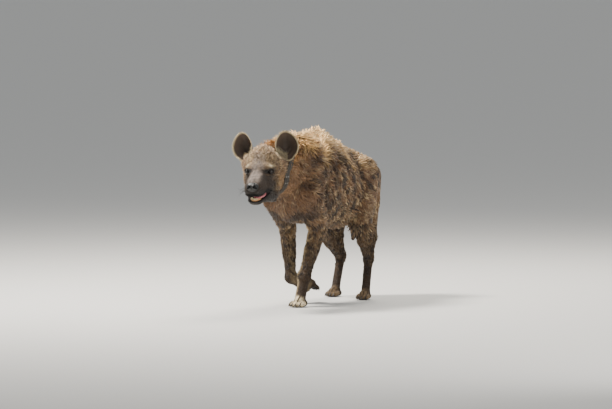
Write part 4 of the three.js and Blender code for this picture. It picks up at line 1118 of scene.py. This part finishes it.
# tail: short on the dock, then a long dark brush
tailCoat = {"count": 2600, "length": 22, "brushLength": 60, "width": 4.0, "brushWidth": 2.4}
roots, normals, _ = pickRoots(isTail * (1 + 2.0 * (z < 520)), tailCoat["count"], 31)
draw = np.random.default_rng(81)
brush = 1 - smooth(440, 540, roots[:, 2])
lie = mix(np.tile((0.0, 0.05, -1.0), (len(roots), 1)), np.tile((0.0, 1.0, -0.5), (len(roots), 1)),
          smooth(560, 600, roots[:, 2]))
tones, tips = lockTones(roots, normals, 31, paleTips=0.15)
size = tailCoat["length"] + tailCoat["brushLength"] * brush
size = np.minimum(size, np.maximum(24, (roots[:, 2] - 300) * 0.9)) * draw.uniform(0.6, 1.2, len(roots))
width = (tailCoat["width"] + tailCoat["brushWidth"] * brush) * draw.uniform(0.7, 1.2, len(roots))
growLocks("coat_tail", roots, normals, tousled(lie, normals, roots, 0.12, 31, 0.1), size, width,
          0.1 * draw.uniform(0.4, 1.5, len(roots)), tones, tips, curl=0.25, sway=0.04, seed=31)

# Finished pieces are wrapped from a sphere: place(turn, v) gives a point for each turn and v from 0 to 1

def wrapped(name, place, sides, stations, paint, node=None, colours=None):
    form = bmesh.new()
    bmesh.ops.create_uvsphere(form, u_segments=sides, v_segments=stations, radius=1)
    marks = []
    for vertex in form.verts:
        turn = math.atan2(vertex.co.y, vertex.co.x)
        v = math.acos(max(-1, min(1, vertex.co.z))) / math.pi
        marks.append((turn, v))
        vertex.co = Vector(toScene(place(turn, v)))
    bmesh.ops.recalc_face_normals(form, faces=form.faces[:])
    piece = fromBmesh(name, form)
    if colours is not None:
        addAttribute(piece.data, "coatTone", "FLOAT_COLOR", np.array([colours(turn, v) for turn, v in marks]))
    piece.data.materials.append(paint)
    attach(piece, "root")
    if node:
        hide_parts(node)
    return piece


# Ears: a thin rounded cup with a rolled rim and low folds inside, short-haired behind and fringed in front

ear = {"height": 136, "width": 106, "depth": 38, "wall": 4.2, "middle": (101, 112),
       "level": {1: 110, -1: 101}, "lean": {1: -0.2, -1: -0.14}}    # 1 is the left ear, -1 the right
# Thin skin under sparse hair: a little light comes through, over a grain drawn coarser than the hairs
earPaint, tree, shader = newMaterial("thinHairedEarSkin", Roughness=0.6, Specular_IOR_Level=0.3)
shader.inputs["Subsurface Weight"].default_value = 0.08
shader.inputs["Subsurface Scale"].default_value = 0.004
shader.inputs["Subsurface Radius"].default_value = (1.0, 0.35, 0.2)
shadeTones(tree, shader, roughen(tree, shader, "ShaderNodeTexNoise", 2.38, 0.7, 0.3, Detail=3.0,
                                 Roughness=0.65), 0.7)


def earFrame(s):
    middle = onHead(ear["middle"][0] * s, ear["middle"][1], ear["level"][s])
    facing = headTurn @ unit((0.34 * s, -0.94, 0.04))
    standing = headTurn @ unit((ear["lean"][s], 0.08, 0.98))
    across = unit(np.cross(standing, facing))
    return middle, facing, across, np.cross(facing, across)


def earPoint(s, turn, v, frameOf):
    middle, facing, across, upward = frameOf
    inner = v < 0.5
    r = min(1, v * 2 if inner else (1 - v) * 2)
    high = math.sin(turn)
    wide = math.cos(turn) * (1 - 0.2 * max(0, -high) ** 2 - 0.14 * max(0, high) ** 1.5)
    hollow = ear["depth"] * (1 - r * r) * (1 - 0.25 * high * r)
    back = 0 if inner else ear["wall"] * (0.35 + 0.9 * (1 - r * r))
    curl = 10 * r * r * math.cos(turn) ** 2
    fold = 0
    if inner:
        low = max(0, -high)
        fold = 4.5 * math.exp(-((r - 0.62) / 0.1) ** 2) * low
        fold += 3.5 * math.exp(-((r - 0.36) / 0.09) ** 2) * (0.3 + low)
        fold += 1.2 * math.sin(9 * turn) * float(smooth(0.35, 0.6, r)) * (1 - r) * 1.4
    roll = 1.8 * math.exp(-((r - 0.95) / 0.05) ** 2) * (1 if inner else -0.2)
    notch = 1 - 0.05 * math.exp(-((turn + (0.9 if s > 0 else 2.24)) / 0.18) ** 2) * r
    return (middle + across * wide * r * ear["width"] / 2 * notch
            + upward * high * r * ear["height"] / 2 * notch + facing * (curl - hollow - back + fold + roll))


def earTone(turn, v):
    if v > 0.5:
        return mix(tone["earBack"], tone["muzzle"] * 1.6, smooth(0.2, 0.8, math.sin(turn)) * 0.5) * 0.9
    r = v * 2
    # painted shade: the hollow is darker deep in the cup and lighter towards the rim
    inner = mix(tone["earInside"] * 0.75, tone["earInside"] * 1.3, smooth(0.35, 0.85, r))
    return mix(inner, tone["earRim"] * 0.8, smooth(0.88, 0.98, r))


for name, eye in eyes.items():
    s = eye["side"]
    frameOf = earFrame(s)
    wrapped("ear_%s_cup" % name, lambda turn, v: earPoint(s, turn, v, frameOf), 72, 56, earPaint,
            "ear_" + name, earTone)
    draw = np.random.default_rng(60 + s)
    middle, facing, across, upward = frameOf

    def surfaceAt(turns, vs):
        p = np.array([earPoint(s, t, v, frameOf) for t, v in zip(turns, vs)])
        a = np.array([earPoint(s, t + 0.03, v, frameOf) for t, v in zip(turns, vs)]) - p
        b = np.array([earPoint(s, t, v + 0.006, frameOf) for t, v in zip(turns, vs)]) - p
        n = unit(np.cross(a, b))
        facingOut = np.where(np.array(vs) > 0.5, -1, 1)
        return p, n * (np.sign((n @ facing)) * facingOut)[:, None]

    # the back
    count = 1700
    turns = draw.uniform(-math.pi, math.pi, count)
    vs = 0.5 + 0.5 * (1 - np.sqrt(draw.uniform(0.02, 0.97, count)))
    p, n = surfaceAt(turns, vs)
    base = np.tile(tone["earBack"], (count, 1)) * np.exp(draw.normal(0, 0.2, count))[:, None]
    lie = np.tile(upward, (count, 1)) + across * (np.cos(turns) * 0.4)[:, None]
    growLocks("coat_ear_back_" + name, p, n, lie, draw.uniform(7, 12, count), draw.uniform(1.6, 2.6, count),
              0.16, base, base * 1.5, kind="short", slot="ear", seed=61, sink=0.4)
    # the rim's pale fringe
    count = 1300
    turns, vs = draw.uniform(-math.pi, math.pi, count), draw.uniform(0.465, 0.515, count)
    p, n = surfaceAt(turns, vs)
    outward = across * np.cos(turns)[:, None] + upward * np.sin(turns)[:, None]
    base = np.tile(tone["earRim"], (count, 1)) * np.exp(draw.normal(0, 0.2, count))[:, None]
    growLocks("coat_ear_rim_" + name, p, n, outward * 0.5 + upward * 0.35 + facing * 0.1,
              draw.uniform(3, 6.5, count), draw.uniform(1.3, 2.0, count), 0.3, base * 0.8, base * 1.25,
              kind="short", slot="ear", seed=62, sink=0.5)
    # sparse long hairs rise from the lower inner edge of the hollow
    count = 480
    turns = -math.pi / 2 - s * draw.uniform(0.1, 1.3, count)
    vs = np.clip(draw.normal(0.42, 0.04, count), 0.3, 0.48)
    p, n = surfaceAt(turns, vs)
    inwardWay = -(across * np.cos(turns)[:, None] + upward * np.sin(turns)[:, None])
    base = np.tile(tone["earRim"], (count, 1)) * np.exp(draw.normal(-0.4, 0.25, count))[:, None]
    growLocks("coat_ear_inside_" + name, p, n, inwardWay * 0.5 + upward * 0.9,
              draw.uniform(14, 32, count), draw.uniform(1.1, 2.0, count), 0.4, base * 0.6, base * 1.1,
              kind="short", slot="ear", seed=63, sink=0.5, sway=0.2)
print("ears: made")

# Eyes: a wet dark brown ball with a round pupil, set in thick dark lids

eyePaint, tree, shader = newMaterial("wetEyeball", Roughness=0.14, Specular_IOR_Level=0.3)
shader.inputs["Coat Weight"].default_value = 0.35
shader.inputs["Coat Roughness"].default_value = 0.03
addNode(tree, "ShaderNodeAttribute", feeds=[("Color", shader, "Base Color")], attribute_name="coatTone")
eyeTone = {"pupil": hexToLinear("#050403"), "iris": hexToLinear("#24170d"), "ring": hexToLinear("#120b07"),
           "white": hexToLinear("#1c1512")}

# Bare black skin: dull, with fine creases about 1 mm apart that keep the rim of the eye from shining
lidPaint, tree, shader = newMaterial("bareLidSkin", Roughness=0.55, Specular_IOR_Level=0.2, base="#0d0a09")
roughen(tree, shader, "ShaderNodeTexNoise", 1.11, 0.4, 0.35, Detail=3.0)

lid = {"wide": 12.6, "high": 7.2, "margin": 2.2}


def eyePoint(eye, turn, angle, radius):
    side = eye["across"] * math.cos(turn) + eye["upward"] * math.sin(turn)
    return eye["centre"] + (eye["gaze"] * math.cos(angle) + side * math.sin(angle)) * radius


def eyeballPoint(eye, turn, v):
    angle = v * math.pi
    bulge = 1.3 * max(0, 1 - (angle / 0.72) ** 2)
    return eyePoint(eye, turn, angle, head["eyeRadius"] - 0.2 + bulge)


def eyeballTone(turn, v):
    angle = v * math.pi
    fleck = 0.75 + 0.25 * math.sin(turn * 23) * math.sin(turn * 7 + 1)
    c = mix(eyeTone["pupil"], eyeTone["iris"] * fleck, smooth(0.26, 0.31, angle))
    c = mix(c, eyeTone["ring"], smooth(0.6, 0.72, angle))
    return mix(c, eyeTone["white"], smooth(0.76, 0.86, angle))


def lidAngle(eye, turn, grow):
    inner = -eye["side"] * math.cos(turn)          # 1 at the corner by the nose
    wide = lid["wide"] * (1 + 0.16 * max(0, inner) ** 3)
    high = lid["high"] * (1.06 if math.sin(turn) > 0 else 0.86)
    x = math.cos(turn) * wide
    z = math.sin(turn) * high * (1 - 0.18 * abs(math.cos(turn))) - 2.0 * max(0, inner) ** 2
    flat = math.hypot(x, z)
    return math.asin(min(0.97, flat / (head["eyeRadius"] + 0.8))) * grow, math.atan2(z, x)


for name, eye in eyes.items():
    wrapped("eye_%s_ball" % name, lambda turn, v: eyeballPoint(eye, turn, v), 48, 40, eyePaint,
            "eye_" + name, eyeballTone)
    form = bmesh.new()
    # how far out of the opening each ring of the lids lies, and how high above the ball
    steps = ((0.94, 0.3), (0.97, 0.7), (1.0, 1.5), (1.06, 2.3), (1.16, 2.7), (1.3, 2.6), (1.46, 1.8),
             (1.62, 0.5), (1.8, -2.0))
    bmesh.ops.create_grid(form, x_segments=64, y_segments=len(steps) - 1, size=0.5)
    for vertex in form.verts:
        turn = (vertex.co.x + 0.5) * 2 * math.pi
        grow, lift = steps[round((vertex.co.y + 0.5) * (len(steps) - 1))]
        angle, way = lidAngle(eye, turn, grow)
        brow = 1.1 * max(0, math.sin(turn)) * max(0, grow - 1)
        crease = 0.5 * math.sin(grow * 28) * max(0, grow - 1.05)
        radius = head["eyeRadius"] + lift + brow * 2 + crease
        vertex.co = Vector(toScene(eyePoint(eye, way, min(angle, 1.75), radius)))
    bmesh.ops.remove_doubles(form, verts=form.verts[:], dist=0.00001)
    bmesh.ops.recalc_face_normals(form, faces=form.faces[:])
    if (form.faces[0].calc_center_median() - Vector(toScene(eye["centre"]))).dot(form.faces[0].normal) < 0:
        bmesh.ops.reverse_faces(form, faces=form.faces[:])
    lids = fromBmesh("lids_" + name, form)
    lids.data.materials.append(lidPaint)
    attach(lids, "root")
    # lashes on the upper lid
    turns = np.linspace(0.5, math.pi - 0.5, 26)
    ends = [lidAngle(eye, turn, 1.06) for turn in turns]
    p = np.array([eyePoint(eye, way, angle, head["eyeRadius"] + 3) for angle, way in ends])
    away = unit(p - eye["centre"])
    base = np.tile(tone["lip"], (len(turns), 1))
    growLocks("lashes_" + name, p, away, np.tile(eye["upward"], (len(turns), 1)), 7.5, 0.7, 0.7, base, base,
              kind="short", slot="face_fur", seed=64, curl=-0.5, sink=0.6)
print("eyes: made")

# Nose: a broad wet pad with comma-shaped nostrils and a groove down the middle

# Wet black leather: pebbles 1.6 mm across break its shine into small points
nosePaint, tree, shader = newMaterial("wetNoseLeather", Roughness=0.42, Specular_IOR_Level=0.5,
                                      base="#121010")
roughen(tree, shader, "ShaderNodeTexVoronoi", 1.61, 0.6, 0.55, "Distance")
nose = {"centre": (0, -131, -64), "radii": (28, 17.5, 21)}


def nosePoint(turn, v):
    angle = v * math.pi
    # the pole faces forwards, so that the pad is finest where it shows
    x = math.sin(angle) * math.cos(turn)
    z = math.sin(angle) * math.sin(turn)
    y = -math.cos(angle)
    square = 1 / max(abs(x) ** 2.6 + abs(z) ** 2.6, 0.2) ** (1 / 2.6) if abs(y) < 0.6 else 1
    square = 1 + (min(square, 1.12) - 1) * 0.6
    p = np.array((x * nose["radii"][0] * square, y * nose["radii"][1], z * nose["radii"][2] * square))
    if z < 0:
        p[0] *= 1 - 0.22 * min(1, -z)
    depth = 0
    for s in (1, -1):
        a, b = np.array((10.5 * s, 2.5)), np.array((21 * s, -5.0))
        q = np.array((p[0], p[2]))
        t = min(1, max(0, (q - a) @ (b - a) / ((b - a) @ (b - a))))
        reach = np.linalg.norm(q - a - t * (b - a))
        size = 5.6 - 2.8 * t
        depth = max(depth, (9.5 - 4 * t) * (1 - float(smooth(size * 0.55, size * 1.15, reach))))
        p[1] -= 2.0 * math.exp(-((reach - size * 1.5) / 2.6) ** 2) * (y < 0)
    groove = 2.2 * math.exp(-(p[0] / 1.9) ** 2) * float(1 - smooth(-3, 9, p[2]))
    if y < 0:
        p[1] += depth + groove
    return onHead(*(np.array(nose["centre"]) + p))


wrapped("nose_pad", nosePoint, 96, 80, nosePaint, "nose")
print("nose: made")

# Mouth: gum and lower teeth behind the lip, and the tongue between them

# Wet gum: smooth and shiny, with light coming through its edge. Its pale tan colour is partly the gum's own,
# partly painted sunlight.
gumPaint, tree, shader = newMaterial("wetGumPaleAndSunlit", Roughness=0.3, Specular_IOR_Level=0.5, base="#dba873")
shader.inputs["Subsurface Weight"].default_value = 0.1
shader.inputs["Subsurface Scale"].default_value = 0.004
# Worn enamel: yellowed, with shallow dents about 4 mm apart that break its shine
toothPaint, tree, shader = newMaterial("wornIvoryTooth", Roughness=0.3, Specular_IOR_Level=0.5,
                                       base="#dccba0")
roughen(tree, shader, "ShaderNodeTexNoise", 3.85, 0.5, 0.15, Detail=3.0)
# Wet tongue: pink, with bumps 1.1 mm apart that scatter its shine
tonguePaint, tree, shader = newMaterial("wetTongue", Roughness=0.34, Specular_IOR_Level=0.5, base="#c2747b")
shader.inputs["Subsurface Weight"].default_value = 0.15
shader.inputs["Subsurface Scale"].default_value = 0.005
roughen(tree, shader, "ShaderNodeTexVoronoi", 1.11, 0.5, 0.5, "Distance")


def gumLine(turn):
    y = -98 + 44 * turn * turn
    return onHead(25 * turn, y, lipLevel(y, "lower") + 1)


def tubePoint(line, radius, turn, v):
    t = v * 2 - 1
    centre, ahead = line(t), line(t + 0.01)
    tangent = unit(ahead - centre)
    side = unit(np.cross(tangent, (0, 0, 1)))
    over = np.cross(side, tangent)
    thick = radius * min(1, math.sin(v * math.pi) * 3)
    return centre + side * math.cos(turn) * thick + over * math.sin(turn) * thick


wrapped("gum_lower", lambda turn, v: tubePoint(gumLine, 5.2, turn, v), 20, 60, gumPaint,
        "teeth_lower")


def toothPoint(root, width, height, lean, turn, v):
    full = math.sin(min(1, v * 1.6 + 0.12) * math.pi / 2) ** 0.6 * (1 - max(0, v - 0.25) ** 1.7)
    reach = max(0.02, full) * width * (0 if v in (0, 1) else 1)
    return (root + headTurn @ np.array((math.cos(turn) * reach, math.sin(turn) * reach * 0.75 - lean * v * v,
                                        -3 + v * (height + 3))))


for i in range(8):
    canine = i in (0, 7)
    t = (0.28 + 0.44 * i / 7 if canine else 0.36 + 0.28 * (i - 1) / 5) * 2 - 1
    root = gumLine(t) + (0, 0, 2)
    width, height, lean = (4.6, 12, 3) if canine else (3.0, 8.5, 1)
    wrapped("tooth_lower_%d" % (i + 1), lambda turn, v: toothPoint(root, width, height, lean, turn, v),
            14, 12, toothPaint)


tongue = {"centre": (14, -56, -103), "radii": (30, 42, 8), "tilt": 0.3}


def tonguePoint(turn, v):
    angle = v * math.pi
    x, z, y = math.sin(angle) * math.cos(turn), math.sin(angle) * math.sin(turn), -math.cos(angle)
    tip = 1 - 0.25 * max(0, -y) ** 3
    groove = 2.2 * math.exp(-(x / 0.2) ** 2) * max(0, z) * (1 - max(0, -y))
    wide, far, thick = tongue["radii"]
    across, along, high = x * wide * tip, y * far, z * thick + 3 * x * x - groove
    tilt = tongue["tilt"]
    turned = (across, along * math.cos(tilt) - high * math.sin(tilt),
              along * math.sin(tilt) + high * math.cos(tilt))
    return onHead(*(np.array(tongue["centre"]) + turned))


wrapped("tongue_wet", tonguePoint, 40, 40, tonguePaint, "tongue")
print("mouth: made")

# Claws: blunt, curved and dark, four to a paw

# Worn horn: a dull shine, roughened 2 mm apart by walking
clawPaint, tree, shader = newMaterial("dullHornClaw", Roughness=0.38, Specular_IOR_Level=0.45, base="#2b231d")
roughen(tree, shader, "ShaderNodeTexNoise", 2, 0.4, 0.3, Detail=4.0)
clawForm = bmesh.new()
for paw in paws:
    for toe in range(4):
        across, x, y = toeRoot(paw, toe)
        made = bmesh.ops.create_uvsphere(clawForm, u_segments=12, v_segments=10, radius=1)
        for vertex in made["verts"]:
            v = (vertex.co.z + 1) / 2
            thin = (1 - v) ** 0.55
            reach = paw["claw"] * v
            vertex.co = Vector(toScene(onPaw(
                paw, x * (1 + 0.03 * v) - across * 0.14 * reach + vertex.co.x * 4.2 * (thin + 0.1),
                y + paw["length"] * 0.19 + reach, 15.5 - 11.5 * v * v + vertex.co.y * 4.6 * (thin + 0.08))))
bmesh.ops.recalc_face_normals(clawForm, faces=clawForm.faces[:])
claws = fromBmesh("claws", clawForm)
claws.data.materials.append(clawPaint)
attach(claws, "root")
print("claws: made")

# Whiskers: long stiff hairs on the muzzle, in loose rows

draw = np.random.default_rng(70)
starts, outs, lengths = [], [], []
for s in (1, -1):
    for row in range(4):
        for i in range(6):
            start = np.array((0, -58 - i * 9.0, -66 - row * 8.0 + draw.normal(0, 1)))
            ray = headTurn @ unit((s, -0.1, 0))
            start = onHead(*start)
            starts.append(start + ray * (reachTo(headField, start, ray) - 2.5))
            outs.append(headTurn @ unit((s * 0.8, 0.35 - 0.1 * i, -0.3 + 0.06 * row)))
            lengths.append(draw.uniform(38, 66))
starts, outs = np.array(starts), unit(np.array(outs))
value = headField(starts)
normals = unit(slopeOf(headField, starts, value))
base = np.tile(tone["lip"], (len(starts), 1))
growLocks("whiskers", starts, normals, outs, np.array(lengths), 0.9, 0.85, base, base * 2.5, kind="long",
          curl=0.5, sway=0.1, slot="face_fur", seed=71, sink=1.0)

# Collar: a flat belt of rubbery webbing, stitched, and bolted to a moulded case at the throat

collar = {"centre": (-24, -148, 626), "width": 42, "thickness": 4, "clearance": 3, "around": 168}
# Rubbery webbing: matt, with worn patches about 14 mm across and a low weave drawn coarser than life, 3.8 mm
beltPaint, tree, shader = newMaterial("wornRubberBelt", Roughness=0.68, Specular_IOR_Level=0.35)
place = addNode(tree, "ShaderNodeTexCoord")
worn = addNode(tree, "ShaderNodeTexNoise", [(place, "Object", "Vector")], Scale=1000 / 14.3, Detail=5.0,
               Roughness=0.65)
ramp = addNode(tree, "ShaderNodeValToRGB", [(worn, "Fac", "Fac")])
ramp.color_ramp.elements[0].position = 0.35
ramp.color_ramp.elements[0].color = (*hexToLinear("#1f1c1a"), 1)
ramp.color_ramp.elements[1].position = 0.68
ramp.color_ramp.elements[1].color = (*hexToLinear("#4a4641"), 1)
tree.links.new(ramp.outputs["Color"], shader.inputs["Base Color"])
roughen(tree, shader, "ShaderNodeTexWave", 3.85, 0.5, 0.2, Distortion=1.5)
neckCentre = np.array(collar["centre"], float)


def neckFlesh(p):
    return np.minimum(fieldParts["trunk"][0](p), headField(p))


def beltRadius(turn):
    ray = np.array((math.cos(turn), 0, math.sin(turn)))
    starts = [neckCentre + (0, collar["width"] * part, 0) for part in (-0.5, 0, 0.5)]
    return max(reachTo(neckFlesh, start, ray) for start in starts) + collar["clearance"]


turns = np.linspace(0, 2 * math.pi, collar["around"], endpoint=False)
lean = 30 * np.exp(-((turns - 0.85) / 0.5) ** 2)    # the belt leans back where it passes behind the ear
radii = np.array([beltRadius(t) for t in turns])
radii = (np.roll(radii, 1) + radii + np.roll(radii, -1)) / 3
form = bmesh.new()
section = [(-0.5, 0.0), (-0.5, 0.8), (-0.46, 1.0), (0.46, 1.0), (0.5, 0.8), (0.5, 0.0)]
bmesh.ops.create_grid(form, x_segments=collar["around"], y_segments=len(section), size=0.5)
for vertex in form.verts:
    i = round((vertex.co.x + 0.5) * collar["around"]) % collar["around"]
    k = round((vertex.co.y + 0.5) * len(section)) % len(section)
    wide, high = section[k]
    r = radii[i] + high * collar["thickness"]
    offset = (math.cos(turns[i]) * r, wide * collar["width"] + lean[i], math.sin(turns[i]) * r)
    vertex.co = Vector(toScene(neckCentre + offset))
bmesh.ops.remove_doubles(form, verts=form.verts[:], dist=0.00001)
bmesh.ops.recalc_face_normals(form, faces=form.faces[:])
belt = fromBmesh("collar_belt", form)
belt.data.materials.append(beltPaint)
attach(belt, "root")
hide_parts("collar_strap")

# Waxed thread, soiled: a dull pale line along each edge, a stitch every 4 mm
threadPaint, tree, shader = newMaterial("paleWaxedThread", Roughness=0.8, base="#6f685d")
form = bmesh.new()
for seam in (-1, 1):
    for i, turn in enumerate(turns):
        r = radii[i] + collar["thickness"] + 0.2
        made = bmesh.ops.create_uvsphere(form, u_segments=6, v_segments=4, radius=1)
        radial = np.array((math.cos(turn), 0, math.sin(turn)))
        tangent = np.array((-math.sin(turn), 0, math.cos(turn)))
        for vertex in made["verts"]:
            p = (neckCentre + radial * (r + vertex.co.x * 0.5) + tangent * vertex.co.z * 1.5
                 + np.array((0, seam * collar["width"] * 0.41 + vertex.co.y * 0.6 + lean[i], 0)))
            vertex.co = Vector(toScene(p))
stitches = fromBmesh("collar_stitches", form)
stitches.data.materials.append(threadPaint)
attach(stitches, "root")

# Moulded nylon: satin, scuffed in patches about 8 mm across
casePaint, tree, shader = newMaterial("mouldedNylonCase", Roughness=0.5, Specular_IOR_Level=0.45)
place = addNode(tree, "ShaderNodeTexCoord")
worn = addNode(tree, "ShaderNodeTexNoise", [(place, "Object", "Vector")], Scale=1000 / 8.33, Detail=4.0)
ramp = addNode(tree, "ShaderNodeValToRGB", [(worn, "Fac", "Fac")])
ramp.color_ramp.elements[0].color = (*hexToLinear("#1e1c1b"), 1)
ramp.color_ramp.elements[1].color = (*hexToLinear("#3d3a37"), 1)
tree.links.new(ramp.outputs["Color"], shader.inputs["Base Color"])
addNode(tree, "ShaderNodeBump", [(worn, "Fac", "Height")], [("Normal", shader, "Normal")], Strength=0.2,
        Distance=0.0006)
# Stainless steel, dulled by weather: a soft grey shine
boltPaint, tree, shader = newMaterial("dullStainlessBolt", Metallic=1.0, Roughness=0.4, base="#8d8a85")

low, high = (np.array(v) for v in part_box("collar_housing"))
form = bmesh.new()
bmesh.ops.create_cube(form, size=1)
bmesh.ops.scale(form, vec=Vector(high - low), verts=form.verts[:])
bmesh.ops.translate(form, vec=Vector((low + high) / 2), verts=form.verts[:])
bmesh.ops.bevel(form, geom=form.edges[:], offset=0.005, segments=4, profile=0.5, affect="EDGES", material=-1)
case = fromBmesh("collar_case", form)
case.data.materials.append(casePaint)
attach(case, "root")
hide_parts("collar_housing")
form = bmesh.new()
for acrossShare in (0.14, 0.86):
    for alongShare in (0.16, 0.84):
        spot = low + (high - low) * (acrossShare, alongShare, 0)
        made = bmesh.ops.create_cone(form, cap_ends=True, segments=20, radius1=0.0032, radius2=0.0026,
                                     depth=0.0016)
        for vertex in made["verts"]:
            vertex.co = Vector((vertex.co.x, vertex.co.y, -vertex.co.z - 0.0004)) + Vector(spot)
for turn in (-0.25, -0.55, -2.59, -2.89):
    i = int(round(turn % (2 * math.pi) / (2 * math.pi) * collar["around"])) % collar["around"]
    radial = np.array((math.cos(turns[i]), 0, math.sin(turns[i])))
    for across in (-9, 9):
        spot = neckCentre + radial * (radii[i] + collar["thickness"]) + (0, across, 0)
        made = bmesh.ops.create_uvsphere(form, u_segments=16, v_segments=10, radius=1)
        turned = Vector(radial).to_track_quat("Z", "Y").to_matrix()
        for vertex in made["verts"]:
            local = Vector((vertex.co.x * 4.2, vertex.co.y * 4.2, max(vertex.co.z, -0.1) * 2.2))
            vertex.co = Vector(toScene(spot + np.array(turned @ local)))
bmesh.ops.recalc_face_normals(form, faces=form.faces[:])
bolts = fromBmesh("collar_bolts", form)
bolts.data.materials.append(boltPaint)
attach(bolts, "root")
print("collar: made")

# Camera, lights and floor

view = {"azimuth": 27, "elevation": 3.6, "distance": 40.0, "width": 2.782, "right": 0.0318, "up": 0.4659}
turn, rise = math.radians(view["azimuth"]), math.radians(view["elevation"])
toCamera = np.array((math.sin(turn) * math.cos(rise), -math.cos(turn) * math.cos(rise), math.sin(rise)))
toRight = np.array((math.cos(turn), math.sin(turn), 0))
above = np.cross(toCamera, toRight)
target = toScene((50, 0, 0)) + toRight * view["right"] + above * view["up"]
cameraData = bpy.data.cameras.new("camera")
cameraData.sensor_width = 36
cameraData.lens = 36 * view["distance"] / view["width"]
cameraData.clip_end = 200
camera = bpy.data.objects.new("camera", cameraData)
camera.location = target + toCamera * view["distance"]
camera.rotation_euler = Vector(-toCamera).to_track_quat("-Z", "Y").to_euler()
bpy.context.scene.collection.objects.link(camera)
bpy.context.scene.camera = camera


def addLight(name, azimuth, elevation, distance, size, power, colour):
    turn, rise = math.radians(azimuth), math.radians(elevation)
    direction = Vector((math.sin(turn) * math.cos(rise), -math.cos(turn) * math.cos(rise), math.sin(rise)))
    data = bpy.data.lights.new(name, "AREA")
    data.size = size
    data.energy = power
    data.color = hexToLinear(colour)
    light = bpy.data.objects.new(name, data)
    light.location = direction * distance + Vector((0, 0, 0.45))
    light.rotation_euler = direction.to_track_quat("Z", "Y").to_euler()
    bpy.context.scene.collection.objects.link(light)


addLight("sun", -62, 58, 4.0, 0.9, 430, "#fff9f0")
addLight("fill", 62, 20, 4.5, 3.0, 84, "#fffcf7")
addLight("rim", 190, 52, 4.0, 1.4, 190, "#fff8ec")
world = bpy.data.worlds.new("sky")
bpy.context.scene.world = world
world.use_nodes = True
background = world.node_tree.nodes["Background"]
background.inputs["Color"].default_value = (*hexToLinear("#e7eaec"), 1)
background.inputs["Strength"].default_value = 0.62

form = bmesh.new()
bmesh.ops.create_grid(form, x_segments=2, y_segments=2, size=60)
floor = fromBmesh("floor", form, False)
floorPaint, tree, shader = newMaterial("paleStudioFloor", Roughness=0.9, base="#cecdca")    # matt paint
floor.data.materials.append(floorPaint)
print("camera, lights and floor: made")
